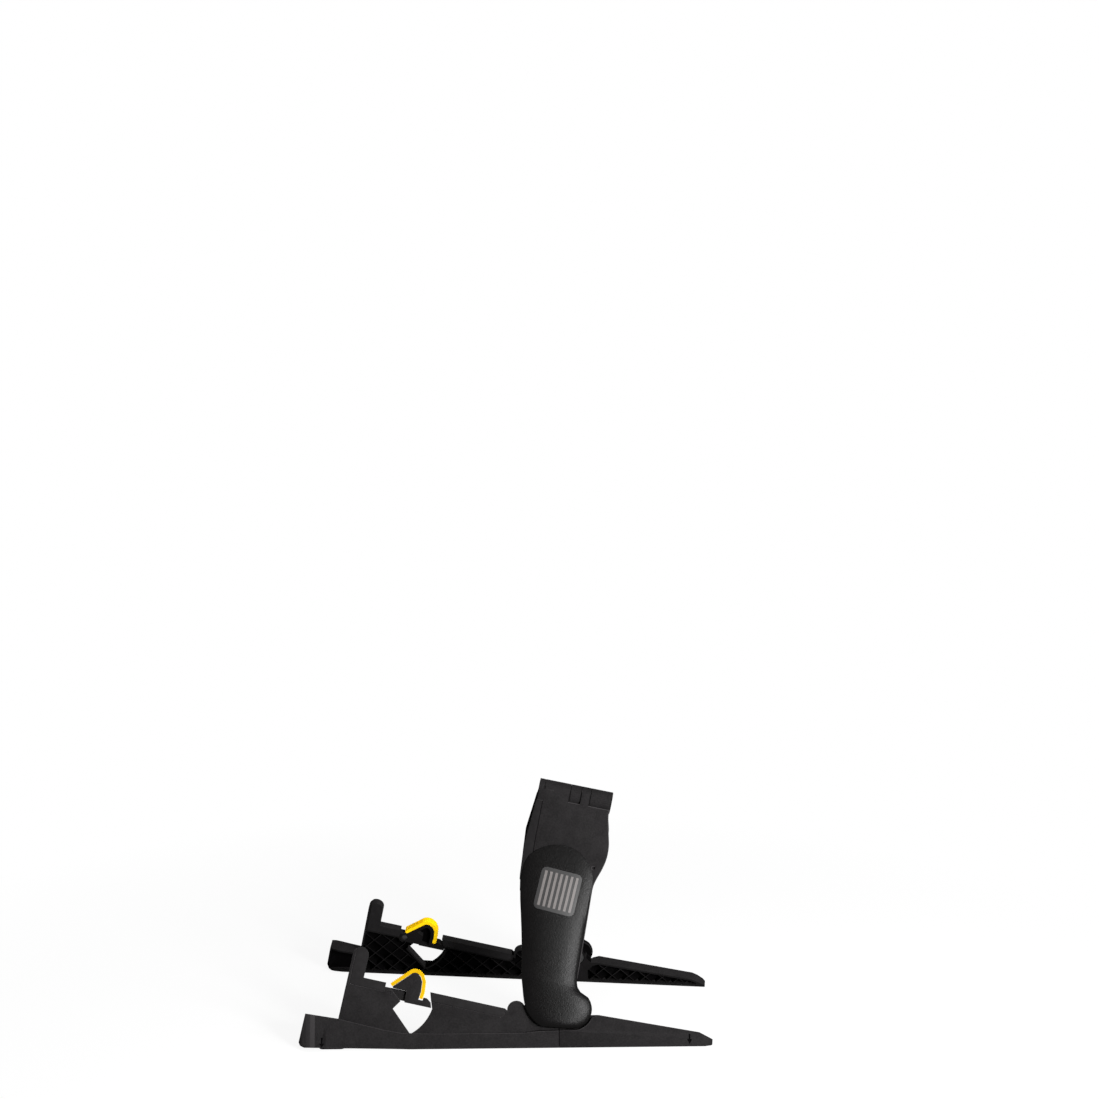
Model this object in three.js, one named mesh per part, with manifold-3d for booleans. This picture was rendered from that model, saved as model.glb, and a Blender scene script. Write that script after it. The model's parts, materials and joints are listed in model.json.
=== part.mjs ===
// Folding A-frame instrument stand. Two mirrored halves turn on one hinge along the top. Each half
// is a post with a cradle leg in front, a rear leg behind and a hinged flap in the cradle.
// Millimetres, +Z up, +X to the rear, the floor at Z zero.
import * as THREE from "three";
import { mergeVertices } from "three/addons/utils/BufferGeometryUtils.js";
import Module from "manifold-3d";

const wasm = await Module();
wasm.setup();
const { Manifold } = wasm;
const radians = THREE.MathUtils.degToRad;

// How the open stand stands
const leanOut = radians(21.2);
const hingeTilt = radians(10.88);

// Clearances and wall thicknesses
const seatGap = 0.3;
const turnGap = 0.4;
const overrun = 2;
const wall = 2;
const roundFacets = 24;

// Layers of one half, counted outward from the mirror plane
const middleGap = 0.5;
const legThickness = 7.5;
const barThickness = 11.5;
const panelThickness = 2.6;
const legOuter = middleGap + legThickness;
const barOuter = middleGap + barThickness;
const panelInner = legOuter + turnGap;
const panelOuter = panelInner + panelThickness;
const coverInner = panelOuter + seatGap;

// Hinge along the top: knuckle borders along its axis, taken in turn by the left and the right half
const hinge = {
  borders: [-3, 29, 39.5, 49.5, 71.3],
  knuckleGap: 0.4,
  notchGap: 0.7,
  pinRadius: 3,
  capRadius: 5.7,
  capThickness: 1.3,
  grooveStart: 5.4,
  grooveWidth: 0.5,
  grooveDepth: 0.4,
};
const hingeRadius = panelOuter;

// Post panel: shares of its depth, rearward, and of its reach, down from the hinge axis
const postDepth = 70;
const postReach = 210;
const panelFrontShares = [[-0.041, 0.041], [-0.093, 0.277], [-0.066, 0.413], [-0.029, 0.486], [0.03, 0.533]];
const panelRearShares = [
  [1.002, 0.84], [0.999, 0.75], [0.989, 0.6], [0.98, 0.47], [0.98, 0.405], [1.008, 0.367],
  [1.06, 0.317], [1.094, 0.263], [1.092, 0.208], [1.063, 0.16], [1.026, 0.108], [0.999, 0.05],
];
const rimSteps = 3;
const stiffener = { thickness: 1.8, height: 4.6, startShare: 0.07, endShare: 0.262 };
const post = { holeRadius: 1.3, holeSink: 1.7, holeDepthShare: 0.929, holeReachShare: 0.321 };

// Outer cover
const coverFrontShares = [
  [-0.03, 0.345], [-0.043, 0.42], [-0.03, 0.487], [0.016, 0.55], [0.101, 0.669], [0.174, 0.781],
  [0.226, 0.876], [0.276, 0.933], [0.331, 0.99], [0.404, 1.034], [0.499, 1.064], [0.587, 1.081],
  [0.683, 1.084], [0.86, 1.076],
];
const coverNeckShares = [
  [1.06, 0.892], [1.018, 0.871], [0.996, 0.838], [0.984, 0.75], [0.973, 0.6], [0.965, 0.47], [0.962, 0.41],
];
const coverArchShares = [
  [0.95, 0.362], [0.89, 0.32], [0.79, 0.282], [0.64, 0.252], [0.44, 0.243], [0.24, 0.26], [0.07, 0.297],
];
const lobe = { radius: 18.9, drop: 0.5, start: -78, end: 48, steps: 5 };
const crownShares = { edgeFall: 2.4, edgeRise: 0.6 };
const cover = {
  overhang: 0.8,
  edge: 1.1,
  crown: 4.8,
  wall: 1.7,
  columns: 12,
  rows: [12, 18],
  hollowColumns: 6,
  hollowRows: [6, 12],
  neckShare: 0.82,
  archRun: 80,
  heelRun: 9,
  endTrim: 0.15,
  bossRadius: 3.2,
  bossBite: 0.8,
  bossHole: 1.5,
  bossHoleDepth: 4,
};
const coverScrewShares = [[0.5, 0.655], [0.37, 0.86], [0.86, 0.8]];
const coverScrew = { headRadius: 3.1, headThickness: 1.1, shankRadius: 1.2, endGap: 0.3 };

// Plain ribbed plaque let into the cover
const plaque = {
  width: 41,
  height: 42,
  corner: 5,
  depthShare: 0.5,
  reachShare: 0.462,
  turn: radians(-3),
  seat: 1.6,
  back: 1.2,
  rim: 1.5,
  ribs: 6,
  ribMargin: 3.5,
  ribDepth: 0.5,
  cornerSteps: 3,
};

// Rubber strip on the post's front edge, held by a tongue of the panel
const backrestFrontShares = [[-0.045, 0.06], [-0.093, 0.277], [-0.066, 0.413], [-0.057, 0.438]];
const backrestRearShares = [[0.077, 0.438], [0.039, 0.27], [0.037, 0.06]];
const backrest = { tongue: 1, lip: 1.6 };

// Pivots of the two legs: the front one in the post and above the sole line, the rear one from it
const frontPivot = { depth: 44.2, endMargin: 1.8, rise: 39 };
const rearPivot = { back: 26.9, drop: 2.2 };
const pivot = {
  knuckleRadius: 12.5,
  bossRadius: 6,
  headRadius: 10.2,
  headThickness: 1.6,
  screwRadius: 2,
  screwDepth: 6.4,
  skinLeft: 1,
};

// Soles: the sole line lies on the floor at this depth in the half
const soleDepth = 9.5;
const sole = { gap: 0.5, recess: 1.4, floorWall: 1.4, padWidth: 6.4, padMiddle: 5.4, padFacets: 6 };
const soleEdge = 2.5;
const padLength = { foot: 24, heel: 17 };

// Front leg: reaches run forward from the pivot, runs back from the toe, heights are above the sole line
const heel = { lobeGap: 1, shoulderReach: 7, shoulderDrop: 0.5, neckReach: 21.7, seam: 0.35, below: 6 };
const bar = {
  height: 14.2,
  flatRun: 131.8,
  riseRun: 99.8,
  riseHeight: 15.2,
  kneeRun: 82.5,
  kneeHeight: 18.3,
  waistRun: 37.8,
  waistHeight: 29.4,
  cavityReach: 20,
};
const foot = {
  beyondCradle: 61.8,
  height: 34.6,
  faceRun: 6.3,
  faceHeight: 7.5,
  cornerRun: 1.5,
  cornerHeight: 4.3,
  toeRun: 5.5,
  soleHeight: 2.4,
  flare: 4.4,
};
const footNoseShares = [[0.927, 0], [0.964, 0.09], [0.99, 0.28], [1.002, 0.51], [1, 0.66], [0.985, 0.844]];
const footFlareShares = [[0.969, 0.87], [0.953, 1], [0.934, 0.92], [0.884, 0.62], [0.817, 0.31],
  [0.729, 0.1], [0.625, 0]];
const lattice = { pitch: 17.5, rib: 0.9, inner: 3.6, bite: 0.5 };

// Cradle: the corner of hook and floor, from there along the floor and square to it
const cradle = { abovePivot: 29.3, tilt: radians(12.6), root: 60 };
const hook = { width: 14.9, height: 28.7, lip: 2.7, steps: 12, plasticSteps: 4 };
const liner = { depth: 8, length: 22.5, proud: 0.1 };
const tongue = { thickness: 1.8, height: 3, margin: 5, bury: 1 };
const ledge = { drop: 3.8, pinMargin: 0.4, slopeRun: 12.2, slopeDrop: 14.2, noseRun: 6.4, noseDrop: 22.8 };
const fan = { gap: 2.4, low: -50.5, high: -8.6, steps: 9 };
const strip = { flapLap: 3, toeRun: 2.5, length: 74.4, corner: 2.4 };
const bump = { run: 11.2, pivotRun: 24.4, rise: 1.1, radius: 9, start: 195, end: 42, steps: 8 };

// Flap: its pin in the cradle frame, and outlines as shares of its span from that pin
const flap = {
  linerGap: 5.7,
  drop: 8.55,
  span: 42,
  armRadius: 4.9,
  armThickness: 3.7,
  armLength: 18,
  travel: 42,
  pocketSteps: 6,
  bossRadius: 6.4,
  bodyInset: 0.1,
  skin: 2,
};
const flapPin = { radius: 1.6, headRadius: 3, headThickness: 1.1, depth: 2.4 };
const flapPad = { thickness: 3.3, proud: 0.1 };
const flapRidgeShares = [[-0.026, 0.206], [0.39, 0.626], [0.483, 0.654], [0.576, 0.644], [0.693, 0.562],
  [0.769, 0.423], [0.793, 0.173], [0.776, 0.01]];
const flapPlateShares = [[0.688, -0.014], [0.788, -0.014], [0.794, 0.056], [0.876, 0.056], [0.982, -0.02],
  [1.018, -0.142], [0.381, -0.142], [0.381, 0.118], [0.062, 0.121]];
const flapHollowShares = [[0.44, -0.09], [0.62, -0.09], [0.63, 0.17], [0.605, 0.36], [0.555, 0.44],
  [0.52, 0.465], [0.46, 0.45], [0.27, 0.26], [0.44, 0.17]];

// Moulded arrows on the feet: their places along the leg, and heights above the sole line
const arrow = {
  shaft: 1.6,
  head: 4.6,
  height: 9.6,
  headHeight: 4.8,
  depth: 1.1,
  frontRun: 22.5,
  rearRun: 23.2,
  low: 2,
};

// Rear leg, reaches run back from its pivot
const rear = {
  reach: 136.9,
  tipHeight: 6.2,
  tipRun: 13.5,
  shoulderHeight: 13.2,
  rootReach: 25.2,
  rootDrop: 6.3,
  neckReach: 17.5,
  lobeGap: 1.2,
  arcStart: -90,
  arcEnd: -27,
  arcSteps: 8,
  cavityStart: 14,
  tipWall: 9.4,
};
const rearTipShares = [[1, 0], [1, 0.6], [0.982, 0.85], [0.94, 1]];

// Colours and finishes
const finishes = {
  plastic: { color: 0x2d2b2c, roughness: 0.62, metalness: 0 },
  rubber: { color: 0x201f20, roughness: 0.85, metalness: 0 },
  yellow: { color: 0xf6c500, roughness: 0.7, metalness: 0 },
  steel: { color: 0x313132, roughness: 0.4, metalness: 0.6 },
  satin: { color: 0x77726f, roughness: 0.45, metalness: 0.2 },
};

// Places that follow from the sizes above
const floorPitch = Math.atan(Math.tan(hingeTilt) / Math.cos(leanOut));
const floorRoll = Math.asin(Math.cos(hingeTilt) * Math.sin(leanOut));
const frontElevation = frontPivot.rise * Math.cos(floorRoll) - soleDepth * Math.sin(floorRoll);
const frontCentre = [frontPivot.depth, frontPivot.endMargin - postReach];
const rearCentre = [
  frontCentre[0] + rearPivot.back * Math.cos(floorPitch) + rearPivot.drop * Math.sin(floorPitch),
  frontCentre[1] + rearPivot.back * Math.sin(floorPitch) - rearPivot.drop * Math.cos(floorPitch),
];
const hingeHeight = frontElevation + frontCentre[0] * Math.sin(hingeTilt)
  - frontCentre[1] * Math.cos(hingeTilt) * Math.cos(leanOut);
const frontStance = { rise: frontPivot.rise, elevation: frontElevation };
const rearStance = {
  rise: frontPivot.rise - rearPivot.drop,
  elevation: frontElevation - rearPivot.drop * Math.cos(floorRoll),
};
const heelEnd = (rearPivot.back - heel.seam) / 2;
const heelHeight = rearStance.rise - lobe.radius - heel.lobeGap;
const flapAlong = liner.length + flap.linerGap;
const stripStart = flapAlong + flap.span - strip.flapLap;
const stripEnd = stripStart + strip.length;
const cradleReach = stripEnd + bump.run + bump.pivotRun;
const cradleHeight = frontPivot.rise + cradle.abovePivot;
const toeReach = cradleReach + foot.beyondCradle;
const tall = toeReach + cradleHeight;
const frontToe = footNoseShares[0][0] * toeReach - soleEdge;
const frontFootPad = [-frontToe, padLength.foot - frontToe];
const frontHeelPad = [heelEnd - soleEdge - padLength.heel, heelEnd - soleEdge];
const rearHeelPad = [soleEdge - heelEnd, soleEdge + padLength.heel - heelEnd];
const rearToe = rearTipShares.at(-1)[0] * rear.reach;
const rearFootPad = [rearToe - padLength.foot, rearToe];
const linerSeat = -liner.depth - seatGap;
const flapPocketTop = middleGap + flap.armThickness + turnGap;

// Solids from closed geometries, and back

function solidFrom(geometry) {
  const plain = geometry.clone();
  plain.deleteAttribute("normal");
  plain.deleteAttribute("uv");
  const welded = mergeVertices(plain);
  return new Manifold(new wasm.Mesh({
    numProp: 3,
    vertProperties: welded.attributes.position.array,
    triVerts: new Uint32Array(welded.index.array),
  }));
}

function geometryFrom(solid) {
  const mesh = solid.getMesh();
  const geometry = new THREE.BufferGeometry();
  geometry.setAttribute("position", new THREE.BufferAttribute(new Float32Array(mesh.vertProperties), 3));
  geometry.setIndex(new THREE.BufferAttribute(new Uint32Array(mesh.triVerts), 1));
  geometry.computeVertexNormals();
  return geometry;
}

function extrusion(points, bottom, top) {
  const shape = new THREE.Shape(points.map(([x, y]) => new THREE.Vector2(x, y)));
  const geometry = new THREE.ExtrudeGeometry(shape, { depth: top - bottom, bevelEnabled: false });
  geometry.translate(0, 0, bottom);
  return geometry;
}

// An outline in the plane of the half, thick in the outward direction
function slab(points, bottom, top) {
  return solidFrom(extrusion(points, bottom, top));
}

// An outline seen from above, as length and outward distance, raised from one height to another
function upright(points, bottom, top) {
  const geometry = extrusion(points.map(([x, z]) => [x, -z]), bottom, top);
  geometry.rotateX(-Math.PI / 2);
  return geometry;
}

function disc([x, y], radius, bottom, top) {
  const geometry = new THREE.CylinderGeometry(radius, radius, top - bottom, roundFacets);
  geometry.rotateX(Math.PI / 2);
  geometry.translate(x, y, (bottom + top) / 2);
  return solidFrom(geometry);
}

function barrel(radius, start, end) {
  const geometry = new THREE.CylinderGeometry(radius, radius, end - start, roundFacets);
  geometry.rotateZ(Math.PI / 2);
  geometry.translate((start + end) / 2, 0, 0);
  return solidFrom(geometry);
}

function rectangle(left, low, right, high) {
  return [[left, low], [right, low], [right, high], [left, high]];
}

function arc([x, y], radius, startDegrees, endDegrees, steps) {
  return Array.from({ length: steps + 1 }, (_, step) => {
    const angle = radians(startDegrees + (endDegrees - startDegrees) * step / steps);
    return [x + radius * Math.cos(angle), y + radius * Math.sin(angle)];
  });
}

// A smooth line through points, with as many steps from each to the next
function smooth(points, steps, closed) {
  const through = points.map(([x, y]) => new THREE.Vector3(x, y, 0));
  const curve = new THREE.CatmullRomCurve3(through, closed, "centripetal");
  const count = (closed ? points.length : points.length - 1) * steps;
  return curve.getPoints(count).slice(0, closed ? count : count + 1).map(({ x, y }) => [x, y]);
}

// Points moved to the left of their line's direction, each corner kept
function shiftLine(points, distance, closed) {
  return points.map((point, index) => {
    const before = points[index - 1] ?? (closed ? points.at(-1) : null);
    const after = points[index + 1] ?? (closed ? points[0] : null);
    const inward = before ? new THREE.Vector2(point[0] - before[0], point[1] - before[1]).normalize() : null;
    const outward = after ? new THREE.Vector2(after[0] - point[0], after[1] - point[1]).normalize() : null;
    const sum = (inward ?? outward).clone().add(outward ?? inward);
    const scale = distance * 2 / sum.lengthSq();
    return [point[0] - sum.y * scale, point[1] + sum.x * scale];
  });
}

function inset(points, distance) {
  const area = THREE.ShapeUtils.area(points.map(([x, y]) => new THREE.Vector2(x, y)));
  return shiftLine(points, distance * Math.sign(area), true);
}

function inPost(shares) {
  return shares.map(([depthShare, reachShare]) => [depthShare * postDepth, -reachShare * postReach]);
}

// Cradle coordinates turned into leg coordinates
function inLeg(points) {
  const [cos, sin] = [Math.cos(cradle.tilt), Math.sin(cradle.tilt)];
  return points.map(([x, y]) => [x * cos + y * sin - cradleReach, y * cos - x * sin + cradleHeight]);
}

// A geometry whose heights are above the floor, brought into the frame of a leg
function onFloor(geometry, { rise, elevation }) {
  geometry.translate(0, -elevation, 0);
  geometry.rotateX(floorRoll);
  geometry.translate(0, rise, 0);
  return solidFrom(geometry);
}

function belowFloorHeight(height, stance) {
  const geometry = new THREE.BoxGeometry(2 * tall, 2 * tall, 2 * tall);
  geometry.translate(0, height - tall, 0);
  return onFloor(geometry, stance);
}

// A rubber foot under a sole, as far along the leg as its start and end
function solePad([start, end], grow, bottom, top, stance) {
  const outward = Math.tan(floorRoll) * stance.elevation + sole.padMiddle / Math.cos(floorRoll);
  const radius = sole.padWidth / 2;
  const outline = [
    ...arc([end - radius, outward], radius + grow, -90, 90, sole.padFacets),
    ...arc([start + radius, outward], radius + grow, 90, 270, sole.padFacets),
  ];
  return onFloor(upright(outline, bottom, top), stance);
}

function solePocket(ends, stance) {
  return solePad(ends, seatGap, -overrun, sole.gap + sole.recess, stance);
}

// Ribs crossed at half a right angle, from the sole line up to the top height
function latticeWeb(start, end, top) {
  const half = lattice.rib / Math.SQRT2;
  const low = -heel.below;
  const ribs = [];
  for (let x = start - top; x < end + top; x += lattice.pitch) {
    for (const run of [low - top, top - low]) {
      const rib = [[x - half, low], [x + half, low], [x + half + run, top], [x - half + run, top]];
      ribs.push(slab(rib, lattice.inner, barOuter));
    }
  }
  return Manifold.union(ribs);
}

function node(name, solid, finish) {
  const mesh = new THREE.Mesh(geometryFrom(solid), new THREE.MeshStandardMaterial(finishes[finish]));
  mesh.name = name;
  return mesh;
}

// Post

const lobeCentre = [rearCentre[0], rearCentre[1] - lobe.drop];
const coverOutline = smooth([
  ...inPost(coverFrontShares),
  ...arc(lobeCentre, lobe.radius, lobe.start, lobe.end, lobe.steps),
  ...inPost(coverNeckShares),
  ...inPost(coverArchShares),
], 2, true);
const backrestFront = inPost(backrestFrontShares);
const backrestRear = inPost(backrestRearShares);
const backrestOutline = [...backrestFront, ...backrestRear];

function backrestTongue(lip, half) {
  const [high, low] = [backrestFront[0][1] - lip, backrestFront.at(-1)[1] + lip];
  const within = (y) => Math.min(high, Math.max(low, y));
  const middle = (panelInner + panelOuter) / 2;
  return slab([
    ...backrestFront.map(([x, y]) => [x + lip, within(y)]),
    ...backrestRear.map(([x, y]) => [x + overrun, within(y)]),
  ], middle - half, middle + half);
}

function hingeSpans(side) {
  return hinge.borders.slice(1).map((end, index) => ({
    start: hinge.borders[index],
    end,
    own: (index % 2 === 0) === (side === "left"),
  }));
}

function postPanel(side) {
  const [first, last] = [hinge.borders[0], hinge.borders.at(-1)];
  const half = hinge.knuckleGap / 2;
  const rearEdge = smooth(inPost(panelRearShares), rimSteps, false);
  let panel = slab([[first + half, 0], ...inPost(panelFrontShares), ...rearEdge, [last - half, 0]],
    panelInner, panelOuter)
    .add(slab(inset(coverOutline, cover.overhang), panelInner, panelOuter));

  // Notches for the other half's knuckles, then this half's own
  const notchDepth = Math.sqrt((hingeRadius + hinge.notchGap) ** 2 - panelInner ** 2);
  const spans = hingeSpans(side);
  for (const { start, end } of spans.filter(({ own }) => !own)) {
    const left = start === first ? start - overrun : start - half;
    const right = end === last ? end + overrun : end + half;
    const notch = rectangle(left, -notchDepth, right, overrun);
    panel = panel.subtract(slab(notch, panelInner - overrun, panelOuter + overrun));
  }
  for (const { start, end } of spans.filter(({ own }) => own)) {
    panel = panel.add(barrel(hingeRadius, start + half, end - half));
  }
  const capDepth = hinge.capThickness + seatGap;
  panel = panel
    .subtract(barrel(hinge.pinRadius + seatGap, first - overrun, last + overrun))
    .subtract(barrel(hinge.capRadius + seatGap, first - overrun, first + half + capDepth))
    .subtract(barrel(hinge.capRadius + seatGap, last - half - capDepth, last + overrun));

  // Seat and tongue of the rubber strip, and the stiffener behind the rear edge
  const edge = rearEdge
    .filter(([, y]) => y < -stiffener.startShare * postReach && y > -stiffener.endShare * postReach);
  const edgeInner = edge.map(([x, y]) => [x - stiffener.thickness, y]).reverse();
  panel = panel
    .subtract(slab(inset(backrestOutline, -seatGap), panelInner - overrun, panelOuter + overrun))
    .add(backrestTongue(backrest.lip, backrest.tongue / 2))
    .add(slab([...edge, ...edgeInner], panelInner - stiffener.height, panelInner + seatGap));

  // Bosses that the legs turn on, the cover's screw seats, the small blind hole and the hinge groove
  const bossEnd = middleGap + pivot.headThickness + seatGap + turnGap;
  for (const centre of [frontCentre, rearCentre]) {
    panel = panel
      .add(disc(centre, pivot.bossRadius, bossEnd, panelInner + seatGap))
      .subtract(disc(centre, pivot.screwRadius + seatGap, bossEnd - overrun, panelOuter - pivot.skinLeft));
  }
  for (const centre of inPost(coverScrewShares)) {
    const seat = panelInner + coverScrew.headThickness + seatGap;
    panel = panel
      .subtract(disc(centre, coverScrew.headRadius + seatGap, panelInner - overrun, seat))
      .subtract(disc(centre, coverScrew.shankRadius + seatGap, seat - seatGap, panelOuter + overrun));
  }
  const hole = [post.holeDepthShare * postDepth, -post.holeReachShare * postReach];
  const [grooveStart, grooveEnd] = [first + hinge.grooveStart, first + hinge.grooveStart + hinge.grooveWidth];
  const groove = barrel(hingeRadius + overrun, grooveStart, grooveEnd)
    .subtract(barrel(hingeRadius - hinge.grooveDepth, grooveStart - overrun, grooveEnd + overrun))
    .subtract(slab(rectangle(first, -tall, last, 0), panelInner, panelOuter));
  return panel
    .subtract(disc(hole, post.holeRadius, panelOuter - post.holeSink, panelOuter + overrun))
    .subtract(groove);
}

function backrestPad() {
  return slab(backrestOutline, panelInner, panelOuter)
    .subtract(backrestTongue(backrest.lip - seatGap, backrest.tongue / 2 + seatGap));
}

// Cover: a crowned skin over the outline, lofted through rows

function crossing(outline, height) {
  const hits = outline.flatMap(([x, y], index) => {
    const [nextX, nextY] = outline[(index + 1) % outline.length];
    return (y - height) * (nextY - height) <= 0 && y !== nextY
      ? [x + (nextX - x) * (height - y) / (nextY - y)] : [];
  });
  return [Math.min(...hits), Math.max(...hits)];
}

function crownHeight(high, low, height) {
  const fromArch = Math.min(1, (high - height) / cover.archRun);
  const fromHeel = Math.min(1, (height - low) / cover.heelRun);
  return cover.crown * Math.sin(fromArch * Math.PI / 2) * Math.sqrt(1 - (1 - fromHeel) ** 2);
}

// Shares from zero to one that lie closer together towards both ends
function easedShares(steps) {
  return Array.from({ length: steps + 1 }, (_, step) => (1 - Math.cos(Math.PI * step / steps)) / 2);
}

// Row heights from the arch to the neck, close at the arch, and on round the lobe, close at the heel
function rowHeights(first, last, [upper, lower]) {
  const neck = -cover.neckShare * postReach;
  const arch = Array.from({ length: upper }, (_, step) => (
    first + (neck - first) * (1 - Math.cos(Math.PI / 2 * step / upper))));
  const heelRows = Array.from({ length: lower + 1 }, (_, step) => (
    neck + (last - neck) * (step / lower + Math.sin(Math.PI / 2 * step / lower)) / 2));
  return [...arch, ...heelRows];
}

function crownedSolid(outline, bottom, edgeTop, columns, rowCounts) {
  const rows = rowCounts[0] + rowCounts[1];
  const heights = outline.map(([, y]) => y);
  const [high, low] = [Math.max(...heights), Math.min(...heights)];
  const rowsDown = rowHeights(high - cover.endTrim, low + cover.endTrim, rowCounts);
  const positions = [];
  for (const skin of [0, 1]) {
    for (const height of rowsDown) {
      const [left, right] = crossing(outline, height);
      for (const share of easedShares(columns)) {
        const bulge = (1 - Math.abs(2 * share - 1) ** crownShares.edgeFall) ** crownShares.edgeRise;
        const top = edgeTop + crownHeight(high, low, height) * bulge;
        positions.push(left + (right - left) * share, height, skin ? top : bottom);
      }
    }
  }
  const across = columns + 1;
  const at = (skin, row, column) => (skin * (rows + 1) + row) * across + column;
  const faces = [];
  const quad = (a, b, c, d) => faces.push(a, b, c, a, c, d);
  for (let row = 0; row < rows; row += 1) {
    for (let column = 0; column < columns; column += 1) {
      quad(at(1, row, column), at(1, row + 1, column), at(1, row + 1, column + 1), at(1, row, column + 1));
      quad(at(0, row, column), at(0, row, column + 1), at(0, row + 1, column + 1), at(0, row + 1, column));
    }
    quad(at(0, row, 0), at(0, row + 1, 0), at(1, row + 1, 0), at(1, row, 0));
    quad(at(0, row + 1, columns), at(0, row, columns), at(1, row, columns), at(1, row + 1, columns));
  }
  for (let column = 0; column < columns; column += 1) {
    quad(at(0, 0, column + 1), at(0, 0, column), at(1, 0, column), at(1, 0, column + 1));
    quad(at(0, rows, column), at(0, rows, column + 1), at(1, rows, column + 1), at(1, rows, column));
  }
  const geometry = new THREE.BufferGeometry();
  geometry.setAttribute("position", new THREE.Float32BufferAttribute(positions, 3));
  geometry.setIndex(faces);
  return solidFrom(geometry);
}

function coverCrown(lowered) {
  return crownedSolid(coverOutline, coverInner, coverTop - lowered, cover.columns, cover.rows);
}

const coverTop = coverInner + cover.edge;
const coverSkin = coverCrown(0);
const coverReachOut = coverTop + cover.crown + overrun;

function plaqueOutline(grow) {
  const [width, height] = [plaque.width / 2 + grow, plaque.height / 2 + grow];
  const corner = plaque.corner + grow;
  const centre = new THREE.Vector2(plaque.depthShare * postDepth, -plaque.reachShare * postReach);
  const quarters = [[1, -1, -90], [1, 1, 0], [-1, 1, 90], [-1, -1, 180]];
  return quarters.flatMap(([sideways, upward, start]) => {
    const middle = [centre.x + sideways * (width - corner), centre.y + upward * (height - corner)];
    return arc(middle, corner, start, start + 90, plaque.cornerSteps);
  }).map(([x, y]) => new THREE.Vector2(x, y).rotateAround(centre, plaque.turn).toArray());
}

function plaqueRibs() {
  const centre = new THREE.Vector2(plaque.depthShare * postDepth, -plaque.reachShare * postReach);
  const reach = plaque.height / 2 - plaque.ribMargin;
  const pitch = (plaque.width - 2 * plaque.ribMargin) / (2 * plaque.ribs + 1);
  return Array.from({ length: plaque.ribs }, (_, index) => {
    const left = centre.x - plaque.width / 2 + plaque.ribMargin + pitch * (2 * index + 1);
    const groove = rectangle(left, centre.y - reach, left + pitch, centre.y + reach)
      .map(([x, y]) => new THREE.Vector2(x, y).rotateAround(centre, plaque.turn).toArray());
    return slab(groove, coverInner, coverReachOut);
  });
}

function postCover() {
  const hollow = crownedSolid(inset(coverOutline, cover.wall), coverInner - overrun, coverTop - cover.wall,
    cover.hollowColumns, cover.hollowRows);
  const buried = coverCrown(cover.bossBite);
  const seat = coverInner + plaque.seat;
  const bosses = inPost(coverScrewShares)
    .map((centre) => disc(centre, cover.bossRadius, coverInner, coverReachOut));
  const holes = inPost(coverScrewShares)
    .map((centre) => disc(centre, cover.bossHole, coverInner - overrun, coverInner + cover.bossHoleDepth));
  return coverSkin.subtract(hollow)
    .add(slab(plaqueOutline(plaque.rim), seat - plaque.back, seat).intersect(coverSkin))
    .add(Manifold.union(bosses).intersect(buried))
    .subtract(Manifold.union(holes))
    .subtract(slab(plaqueOutline(seatGap), seat, coverReachOut));
}

function badgePlate() {
  const lowered = coverCrown(plaque.ribDepth);
  const block = slab(plaqueOutline(0), coverInner + plaque.seat + seatGap, coverReachOut);
  const raised = block.intersect(coverSkin).subtract(Manifold.union(plaqueRibs()));
  return block.intersect(lowered).add(raised);
}

// Front leg

function barTop() {
  return [
    [heelEnd, heelHeight],
    [-heel.shoulderReach, heelHeight - heel.shoulderDrop],
    [-heel.neckReach, bar.height],
    [bar.flatRun - toeReach, bar.height],
    [bar.riseRun - toeReach, bar.riseHeight],
    [bar.kneeRun - toeReach, bar.kneeHeight],
    [bar.waistRun - toeReach, bar.waistHeight],
    [foot.faceRun - toeReach, foot.height],
    [-toeReach, foot.faceHeight],
    [foot.cornerRun - toeReach, foot.cornerHeight],
    [foot.toeRun - toeReach, foot.soleHeight],
    [bar.riseRun - toeReach, 0],
  ];
}

const barSide = [[heelEnd, -heel.below], ...barTop()];
const footNose = footNoseShares.map(([reachShare, depthShare]) => [
  -reachShare * toeReach,
  middleGap + depthShare * (barThickness + foot.flare),
]);
const footFlare = footFlareShares.map(([reachShare, flareShare]) => [
  -reachShare * toeReach,
  barOuter + flareShare * foot.flare,
]);
const barPlan = [[heelEnd, middleGap], ...footNose, ...footFlare, [heelEnd, barOuter]];

// Hollow of a leg, open at its inner face, from an outline seen from the side and one from above
function legCavity(side, plan, start, thickness) {
  const edge = inset(plan, thickness).slice(1, -1);
  const reaches = edge.map(([x]) => Math.abs(x - start));
  const toe = reaches.indexOf(Math.max(...reaches));
  const opening = [
    [edge[toe][0], middleGap - overrun], ...edge.slice(toe),
    [start, barOuter - thickness], [start, middleGap - overrun],
  ];
  return slab(inset(side, thickness), middleGap - overrun, barOuter + foot.flare)
    .intersect(solidFrom(upright(opening, -tall, tall)));
}

const stripSeat = [
  [stripStart + strip.toeRun, -liner.depth],
  [stripEnd - strip.corner, -liner.depth],
  [stripEnd, strip.corner - liner.depth],
  [stripEnd, 0],
];

const [plateRoot] = inLeg([[-hook.width, -cradle.root]]);

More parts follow.
